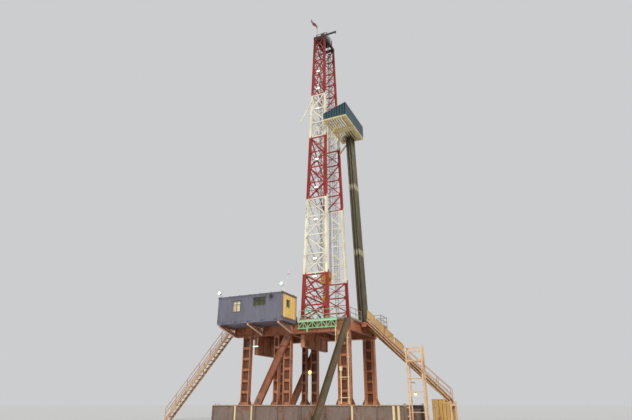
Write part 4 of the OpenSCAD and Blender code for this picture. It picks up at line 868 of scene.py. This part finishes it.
for x, z in product(spread(0.03, CABIN_L - 0.03, 58), (0.035, CABIN_H - 0.035)):
    rivet(x, 0, z, -Y)
for z in spread(0.06, CABIN_H - 0.06, 18):
    for x in (0.035, CABIN_L - 0.035):
        rivet(x, 0, z, -Y)
    for y in (0.035, CABIN_W - 0.035):
        rivet(CABIN_L, y, z, X)
for z in (0.16, 0.5, 0.86):
    hinge = Vector((DOOR_FRONT + 0.005, CABIN_W + 0.03, z))
    rivets.rod(hinge - Z * 0.05, hinge + Z * 0.05, 0.012, 8)
rivets.done("cabin_rivets_and_hinges", "bare_steel")
for y in (0.001, CABIN_W - 0.041):
    edges.box(thick(CABIN_L + TRIM, 0.01), (y, y + 0.04), (0, CABIN_H))
for z in (0, CABIN_H - 0.04):
    edges.box(thick(CABIN_L + TRIM, 0.01), (0.041, CABIN_W - 0.041), (z, z + 0.04))
edges.done("cabin_end_edges", "leg_steel", bevel=0.002)

# a dark round horn high on the near wall
horn = Build(CABIN + Vector((3.58, 0, 1.2)))
horn.box((-0.05, 0.05), (-0.02, -0.004), (-0.05, 0.05))
horn.rod(Y * -0.018, Y * -0.07, 0.045, 20)
horn.rod(Y * -0.068, Y * -0.13, 0.092, 28)
horn.tube(ring(Y * -0.13, X * 0.098, Z * 0.098, 28), 0.012, 8, closed=True)
horn.done("wall_horn", "lamp_shell", DARK)
# a leaning pole with a pink head on the roof's front corner
pole, beacon = (Build((-1.0, -3.62, CABIN_TOP + 0.06)) for _ in range(2))
head = Vector((0, 0.54, 1.17))
pole.box((-0.05, 0.05), (-0.05, 0.05), (-0.002, 0.014))
pole.rod((0, 0, 0), head, 0.02, 16)
for kind, low, high, r in ((pole, -0.01, 0.02, 0.08), (beacon, 0.02, 0.15, 0.07), (beacon, 0.15, 0.18, 0.05)):
    kind.rod(head + Z * low, head + Z * high, r, 24)
pole.done("beacon_pole", "lamp_shell")
beacon.done("beacon_head", "lamp_shell", BEACON)

# floodlights on the roof and the base: lenses, rims and guards; then the two small lamps
ROOF_LAMP = CABIN_TOP + 0.0643 + 0.06
white, amber, green, rims = Build(), Build(), Build(), Build()
HEADS = [(-5.1, -3.81, ROOF_LAMP + 0.17, white), (-0.96, -3.81, ROOF_LAMP + 0.35, green),
         (-0.2, -1.7, BASE_TOP + 1.66, amber)]
for x, y, z, kind in HEADS:
    p = Vector((x, y - 0.039, z))
    kind.rod(p - Y * 0.1203, p - Y * 0.134, 0.0955, 28)
    rims.tube(ring(p - Y * 0.15, X * 0.106, Z * 0.106, 28), 0.008, 6, closed=True)
    p -= Y * 0.152
    for k in (-0.045, 0, 0.045):
        rims.rod(p + X * k - Z * 0.09, p + X * k + Z * 0.09, 0.003, 5)
        rims.rod(p + Z * k - X * 0.09, p + Z * k + X * 0.09, 0.003, 5)
green.box((-3.86, -3.52), (-2.0035, -1.997), (4.012, 4.06))
amber.box((5.51, 5.63), (-1.7562, -1.7262), (1.3, 1.38))
white.done("roof_lamp_lens", "lamp_shell", LENS_WHITE)
green.done("green_lamp_lenses", "lamp_shell", LENS_GREEN)
amber.done("amber_lamp_lenses", "lamp_shell", LENS_AMBER)
rims.done("lamp_rims", "bare_steel", smooth=True)

# the near edge's fascia, from the floor's level: bolted gussets, and a small box hung under it
FASCIA_REAR, FASCIA_FRONT = -0.75, 1.58
GUSSET_Y = -2.278
fascia, rail_posts = (Build(ON_FLOOR) for _ in range(2))
for x, z in product(spread(FASCIA_REAR + 0.018, FASCIA_FRONT - 0.018, 9), (-0.035, -0.4)):
    fascia.box(about(x, 0.06), thick(GUSSET_Y, 0.008), about(z, 0.045))
    fascia.bolts(grid(about(x, 0.035), GUSSET_Y, z), -Y, 0.009, 0.009)
fascia.box((-0.25, -0.15), (-2.265, -2.205), (-0.56, -0.43))
fascia.box((-0.235, -0.165), (-2.28, -2.19), (-0.62, -0.56))
fascia.done("fascia_gussets", "green_paint", bevel=0.002)
# posts halfway between those of the near railing
for x in (-0.362, 0.415, 1.192):
    rail_posts.box(about(x, 0.013), (-2.234, -2.21), (0.0005, 0.574))
rail_posts.done("near_rail_posts", "green_paint")

# pipes clamped to the near side
CLAMP_NEAR, CLAMP_FAR = -2.272, -2.198
pipes = Build()


def upright(x, y, z0, z1, r):
    pipes.rod((x, y, z0), (x, y, z1), r, 16)


def clamp(x0, x1, z, half):
    pipes.box((x0, x1), (CLAMP_NEAR, CLAMP_FAR), about(z, half))


# one on the fascia's front end and the girder below it
upright(1.52, -2.238, 3.95, 4.84, 0.03)
upright(1.52, -2.238, 3.93, 3.99, 0.04)
for z in (4.64, 4.82):
    clamp(1.465, 1.575, z, 0.02)
    pipes.bolts(grid((1.478, 1.562), CLAMP_NEAR, z), -Y, 0.008, 0.008)
# two capped ones on the front leg, the shorter one under a switch box
for x, end in ((1.79, 2.5), (2.21, 4.42)):
    upright(x, -2.236, 0.93, end, 0.03)
    for z in (0.9, end - 0.02):
        upright(x, -2.236, z, z + 0.05, 0.042)
pipes.box((1.71, 1.87), (-2.275, -2.2), (2.53, 2.75))
for z, x in ((1.2, 1.72), (2.2, 1.72), (3.2, 2.14), (4.2, 2.14)):
    clamp(x, 2.28, z, 0.018)
pipes.done("drop_pipes", "stair_paint", CREAM)

# flanges, end plates and bolts of the cabin's brackets
HEAD_PLATE = -2.302
flange, flange_bolts = Build(), Build()
for x in (CABIN.x + 0.12, -3.11, -1.17):
    a, b = Vector((x, -3.82, 5.055)), Vector((x, -2.245, 4.67))
    slope = (b - a).normalized()
    under = Vector((0, slope.z, -slope.y))
    for p, q, face in ((a + under * 0.046, b + under * 0.046, under),
                       (a - under * 0.046 + slope * 0.2, b - under * 0.046, under),
                       ((x, -3.72, 5.004), (x, -2.3, 5.004), Z)):
        flange.bar(p, q, 0.15, 0.012, face)
    flange.box(about(x, 0.075), thick(HEAD_PLATE, 0.012), (4.63, 5.09))
    flange.box(about(x, 0.085), (-3.86, -3.5), (5.085, 5.098))
    for z in (4.72, 4.86, 5.0):
        flange_bolts.bolts(grid(about(x, 0.06), HEAD_PLATE, z), -Y, 0.01, 0.01)
    for t, e in product((0.12, 0.4, 0.68, 0.94), (1, -1)):
        flange_bolts.bolt(a.lerp(b, t) + under * 0.052 + X * e * 0.055, under, 0.009, 0.009)
flange.done("bracket_flanges", "bracket_paint", bevel=0.002)
flange_bolts.done("bracket_bolts", "bare_steel")

# railings: a foot plate and two clamps at each post, cut off at the floor's edges
FOOT_R, CLAMP_R = 0.035, 0.021
RAIL_H = 0.6
RAILS = (((FLOOR_REAR, 2.187), (3.12, 2.187)), ((2.387, -2.2), (2.387, -0.45)),
         ((3.107, 1.02), (3.107, 2.17)), ((-5.087, -1.61), (-5.087, 2.17)))
clamps = Build(ON_FLOOR)


def post_plate(p, r, low, high):
    clamps.box(about(p.x, r), (max(p.y - r, -HALF), min(p.y + r, HALF)), (low, high))


for a, b in RAILS:
    a, b = Vector(a), Vector(b)
    n = ceil((b - a).length / 0.9)
    d = (b - a).normalized() * 0.013
    for k in range(n + 1):
        p = a + d + (b - a - d * 2) * k / n
        for z in (RAIL_H - 0.013, RAIL_H / 2 + 0.013):
            post_plate(p, CLAMP_R, z - 0.026, z + 0.026)
        post_plate(p, FOOT_R, 0.0005, 0.012)
clamps.done("rail_clamps", "bare_steel")

# substructure: each leg has its middle, length along the rig and inset from the rig's side
LEGS = ((-4.17, 0.5, 0.0), (-2.3, 0.3, 0.245), (-1.6, 0.44, 0.245), (1.94, 0.72, 0.0))
LEG_H = 3.76
STRUT_FACE = HALF - 0.025
STRUT_LOW, STRUT_HIGH = -3.35, -1.44
SPLICE_Y = 2.152
legs, pins, girders = Build(), Build(), Build()
for s in (-1, 1):
    for x, length, inset in LEGS:
        y = s * (HALF - inset - 0.04)
        for z in spread(BASE_TOP, BASE_TOP + LEG_H - 0.15, 7):
            legs.bolts(grid(about(x, length / 2 - 0.07), y, (z + 0.04, z + 0.11)), Y * s, 0.012, 0.012)
        rows = (s * (HALF - inset - 0.07), s * (HALF - inset - 0.23))
        pins.bolts(grid(about(x, length / 2 + 0.14), rows, BASE_TOP), Z, 0.018, 0.03)
    # strut pins with their bosses
    for t in (0.06, 0.94):
        p = Vector((STRUT_LOW + t * (STRUT_HIGH - STRUT_LOW), s * STRUT_FACE, BASE_TOP + t * LEG_H))
        pins.rod(p - Y * s * 0.21, p + Y * s * 0.012, 0.0585, 24)
        pins.rod(p, p + Y * s * 0.014, 0.1, 24)
        pins.bolts(ring(p + Y * s * 0.014, X * 0.08, Z * 0.08, 6), Y * s, 0.01, 0.008)
    # bolts along the floor girder's lower flange, and splice plates on its web
    girders.bolts(grid(spread(-5.0, 2.3, 60), s * (HALF - 0.03), GIRDER_LOW), -Z, 0.011, 0.012)
    for x in (-2.96, 0.2):
        girders.box(about(x, 0.16), (s * 2.14, s * SPLICE_Y), (4.66, 5.14))
        columns = [x + dx for dx in (-0.12, -0.06, 0.06, 0.12)]
        girders.bolts(grid(columns, s * SPLICE_Y, (4.72, 4.82, 4.92, 5.02, 5.1)), Y * s, 0.012, 0.01)
legs.done("leg_bolts", "bare_steel")
pins.done("strut_pins", "cast_steel", bevel=0.002)
girders.done("girder_splices", "leg_steel")

# base beams: splice plates, lifting eyes at the ends, bolts along the top, pale posts on the near side
PLATE_FACE = 2.144
base = Build()
for s in (-1, 1):
    for x in (-5.35, -2.62, -0.9, 0.65, 2.9):
        base.box(about(x, 0.14), (s * 2.13, s * PLATE_FACE), (0.07, 0.78))
        base.bolts(grid(about(x, 0.1), s * PLATE_FACE, spread(0.14, 0.7, 5)), Y * s, 0.014, 0.012)
    for (x, e), y in product(((-6.3, -1), (5.1, 1)), (1.74, 2.02)):
        eye = arc((x - e * 0.09, s * y, BASE_TOP + 0.02), Y * 0.05, Z * 0.05, pi, 8)
        base.tube(eye, 0.014, 6)
    for x, y in product(spread(-6.15, 4.95, 24), (2.17, 1.67)):
        base.bolt((x, s * y, BASE_TOP), Z, 0.016, 0.018)
base.done("base_splices", "base_steel")
base_posts = Build()
for half, near, places in ((0.058, -2.196, (4.51, 4.76)), (0.045, -2.19, (-4.75, -3.65, 2.33))):
    for x in places:
        base_posts.box(about(x, half), (near, -2.135), (0.045, 0.806))
base_posts.done("base_posts", "stair_paint", CREAM, bevel=0.004)

# stairs: noses and bolts of the treads
RISER = 0.21
TREAD_W = 0.44
nose, lugs = Build(), Build()


def noses(start, sign, drop, run, y, depth):
    """A nose on every tread of a stair that goes down from start, towards sign, and bolts at its ends."""
    count = ceil(drop / RISER) - 1
    step = drop / (count + 1)
    for k in range(1, count + 1):
        x = start + sign * k * step * run / drop
        z = FLOOR - k * step
        nose.box((x, x - sign * 0.03), (y + 0.032, y + TREAD_W + 0.028), (z - 0.026, z + 0.004))
        for side, e in ((y, -1), (y + TREAD_W + 0.06, 1)):
            lugs.bolts([(x - sign * d, side, z - 0.012) for d in (0.03, depth - 0.03)], Y * e, 0.008, 0.008)


noses(FLOOR_REAR - 0.1503, -1, FLOOR, FLOOR / tan(radians(49)), -2.17, 0.15)
noses(FLOOR_FRONT + 0.0003, 1, RAMP_DROP, STAIR_RUN, STAIR_Y, 0.17)
nose.done("tread_noses", "stair_paint", bevel=0.002)
lugs.done("stair_bolts", "bare_steel")

# frames and middle bars of the sheet panels on the ramp stair's rail
PANEL_Y = STAIR_Y - 0.0123 - 0.008
STAIR_FALL = RAMP_DROP / STAIR_RUN
panel = Build()


def on_panel(x, up):
    """A point x before the floor's front edge, up above the stair's slope there."""
    return Vector((FLOOR_FRONT + x, PANEL_Y, FLOOR + 0.15 + up - x * STAIR_FALL))


for k in range(4):
    a = 0.06 + k * 0.53
    b, h = a + 0.44, 0.76 - k * 0.06
    corners = [on_panel(a, 0), on_panel(b, 0), on_panel(b, h), on_panel(a, h)]
    for p, q in zip(corners, corners[1:] + corners[:1]):
        panel.bar(p, q, 0.03, 0.016, Y)
    panel.bar((corners[0] + corners[1]) / 2, (corners[2] + corners[3]) / 2, 0.02, 0.012, Y)
panel.done("stair_panel_frames", "stair_paint", PANEL)

# ramp: wear strips, lips and stiffeners of its edges, cross bars beneath
ramp = Build()
along = Vector((cos(RAMP_SLOPE), 0, -sin(RAMP_SLOPE)))
normal = Vector((sin(RAMP_SLOPE), 0, cos(RAMP_SLOPE)))
RAMP_TOP = Vector((2.6903, 0, FLOOR))
for y in spread(-0.3, 0.3, 5):
    strip = RAMP_TOP + Y * y + normal * 0.005
    ramp.bar(strip + along * 0.1, strip + along * 5.8, 0.035, 0.01, normal)
for s in (-1, 1):
    lip = RAMP_TOP + Y * s * 0.425 + Z * 0.165
    ramp.bar(lip, lip + along * (RAMP_RUN / cos(RAMP_SLOPE)), 0.07, 0.012, normal)
    for k in range(14):
        p = RAMP_TOP + Y * s * 0.45 + along * (0.2 + k * 0.42)
        ramp.bar(p + Z * 0.13, p - Z * 0.03, 0.03, 0.02, Y)
for k in range(10):
    p = RAMP_TOP + along * (0.25 + k * 0.6) - normal * 0.05
    ramp.bar(p - Y * 0.4, p + Y * 0.4, 0.05, 0.03, normal)
ramp.done("ramp_strips_and_stiffeners", "ramp_steel")

# service tower: bolts at its rails, and feet
TOWER_X, TOWER_Y = 5.18, -1.8
tower = Build()
for y, e in ((TOWER_Y, -1), (TOWER_Y + 0.6, 1)):
    rails = (0.515, 1.465, 2.095, 2.94, 3.415)
    tower.bolts(grid((TOWER_X + 0.032, TOWER_X + 0.808), y, rails), Y * e, 0.01, 0.01)
    for x in (TOWER_X, TOWER_X + 0.776):
        tower.box((x - 0.03, x + 0.094), (y, y + e * 0.04), (0, 0.012))
tower.done("tower_feet_and_bolts", "stair_paint", TOWER)

# escape slide: ribs on it and every third one beneath, lips along its edges
SLIDE_SLOPE = radians(50.4)
SLIDE_HALF = 0.128
slide = Build()
down = Vector((0, -cos(SLIDE_SLOPE), -sin(SLIDE_SLOPE)))
flat = Vector((0, -sin(SLIDE_SLOPE), cos(SLIDE_SLOPE)))
SLIDE_TOP = Vector((2.25, -2.2003, FLOOR))
length = 5.05 / sin(SLIDE_SLOPE)
for k, at in enumerate(spread(0.2, length - 0.1, 28)):
    p = SLIDE_TOP + down * at
    slide.bar(p - X * SLIDE_HALF + flat * 0.003, p + X * SLIDE_HALF + flat * 0.003, 0.02, 0.006, flat)
    if k % 3 == 1:
        q = p - flat * 0.03
        slide.bar(q - X * SLIDE_HALF, q + X * SLIDE_HALF, 0.04, 0.02, flat)
for s in (-1, 1):
    lip = SLIDE_TOP + X * s * 0.14 + Z * 0.2
    slide.tube([lip, lip + down * length, lip + down * length - Y * 0.249], 0.014, 8)
slide.done("slide_ribs_and_lips", "slide_steel")

# rotary table: bolts round its bore, and two pads at each of its corners
rotary, mats, shoes = (Build(ON_FLOOR) for _ in range(3))
rotary.bolts(ring((0, 0, 0.045), X * 0.315, Y * 0.315, 24), Z, 0.012, 0.012)
for c, half, high in ((0.41, 0.03, 0.02), (0.38 * sqrt(0.5), 0.05, 0.01)):
    for x, y in product((-c, c), (-c, c)):
        rotary.box(about(x, half), about(y, half), (0.0003, high))
rotary.done("rotary_bolts", "cast_steel")

# slatted mats on the floor, on all four sides of the table
for s, k in product((-0.62, 0.62), range(6)):
    mats.box(about(s, 0.15), thick(-0.55 + k * 0.184, 0.17), (0.0003, 0.022))
    mats.box(thick(-0.45 + k * 0.15, 0.14), about(s, 0.15), (0.0003, 0.022))
mats.done("floor_mats", "deck_steel", DARK, bevel=0.004)

# bolts of the mast's shoes
for s, x in product((-1, 1), (-0.8, 0.8)):
    shoes.bolts(grid(about(x, 0.15), about(s * 1.65, 0.13), 0.04), Z, 0.018, 0.03)
shoes.done("shoe_bolts", "bare_steel")

# flag: a hung sheet that swings out from its pole and sags towards its free end
FLAG_L, FLAG_H = 0.9, 0.3
ALONG, ACROSS = 45, 12
POLE = Vector((-0.37, -0.46, CROWN_Z + 0.2))
POLE_H = 1.48
HEADING = radians(262)
go = Vector((cos(HEADING), sin(HEADING), 0))
off = Vector((-go.y, go.x, 0))
verts, faces = [], []
x, y = 0.0185, 0.0
for k in range(ALONG + 1):
    t = k / ALONG
    for j in range(ACROSS + 1):
        z = POLE_H - 0.04 - FLAG_H + FLAG_H * j / ACROSS - 0.05 * t * t
        ripple = 0.012 * t * sin(5 * j / ACROSS + 6 * t)
        verts.append(POLE + go * x + off * (y + ripple) + Z * z)
    angle = 0.42 * min(1, t * 3) * sin(2 * pi * 1.6 * t + 0.4)
    x += cos(angle) * FLAG_L / ALONG
    y += sin(angle) * FLAG_L / ALONG
for k, j in product(range(ALONG), range(ACROSS)):
    a = k * (ACROSS + 1) + j
    faces.append((a, a + 1, a + ACROSS + 2, a + ACROSS + 1))
flag = mesh_object("flag_cloth", verts, faces, MATS["cloth"], smooth=True)
fabric = flag.modifiers.new("thickness", "SOLIDIFY")
fabric.thickness, fabric.offset = 0.002, 0.0
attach(flag, "root")
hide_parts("flag")

# studio floor
pale = Nodes("studio_floor_paint")
pale.shader.inputs["Base Color"].default_value = (0.62, 0.62, 0.61, 1)
pale.shader.inputs["Roughness"].default_value = 0.9
REACH = 1200
corners = [(-REACH, -REACH, 0), (REACH, -REACH, 0), (REACH, REACH, 0), (-REACH, REACH, 0)]
mesh_object("studio_floor", corners, [(0, 1, 2, 3)], pale.mat)

# light: a pale world, seen a little brighter than it lights, and two soft suns
scene = bpy.context.scene
scene.view_settings.view_transform = "Standard"
world = bpy.data.worlds.new("studio")
scene.world = world
world.use_nodes = True
tree = world.node_tree
tree.nodes.clear()
blend = tree.nodes.new("ShaderNodeMixShader")
for k, (colour, strength) in enumerate((((0.95, 0.97, 1, 1), 0.55), ((0.6, 0.61, 0.62, 1), 1.0))):
    sky = tree.nodes.new("ShaderNodeBackground")
    sky.inputs["Color"].default_value = colour
    sky.inputs["Strength"].default_value = strength
    tree.links.new(sky.outputs[0], blend.inputs[1 + k])
rays = tree.nodes.new("ShaderNodeLightPath").outputs
seen = rays["Is Camera Ray"]
for kind in ("Is Glossy Ray", "Is Transmission Ray"):
    either = tree.nodes.new("ShaderNodeMath")
    either.operation = "MAXIMUM"
    tree.links.new(seen, either.inputs[0])
    tree.links.new(rays[kind], either.inputs[1])
    seen = either.outputs[0]
tree.links.new(seen, blend.inputs[0])
tree.links.new(blend.outputs[0], tree.nodes.new("ShaderNodeOutputWorld").inputs[0])


def sun(name, direction, strength, colour, soft):
    lamp = bpy.data.lights.new(name, "SUN")
    lamp.energy, lamp.color, lamp.angle = strength, colour, radians(soft)
    placed(name, lamp).rotation_euler = Vector(direction).to_track_quat("-Z", "Y").to_euler()


sun("key", (-0.55, 0.75, -0.62), 1.9, (1.0, 0.97, 0.92), 25)
sun("fill", (0.85, 0.45, -0.25), 0.7, (0.92, 0.95, 1.0), 50)

# camera, fitted to the photo
EYE = (11.805, -26.93, 0.85)
YAW, PITCH = radians(24.9), radians(22.109)
cam = bpy.data.cameras.new("camera")
cam.lens, cam.sensor_width = 27.34, 36
cam.clip_start, cam.clip_end = 0.5, 2000
view = placed("camera", cam)
view.location = EYE
look = Vector((-sin(YAW) * cos(PITCH), cos(YAW) * cos(PITCH), sin(PITCH)))
view.rotation_euler = look.to_track_quat("-Z", "Y").to_euler()
scene.camera = view
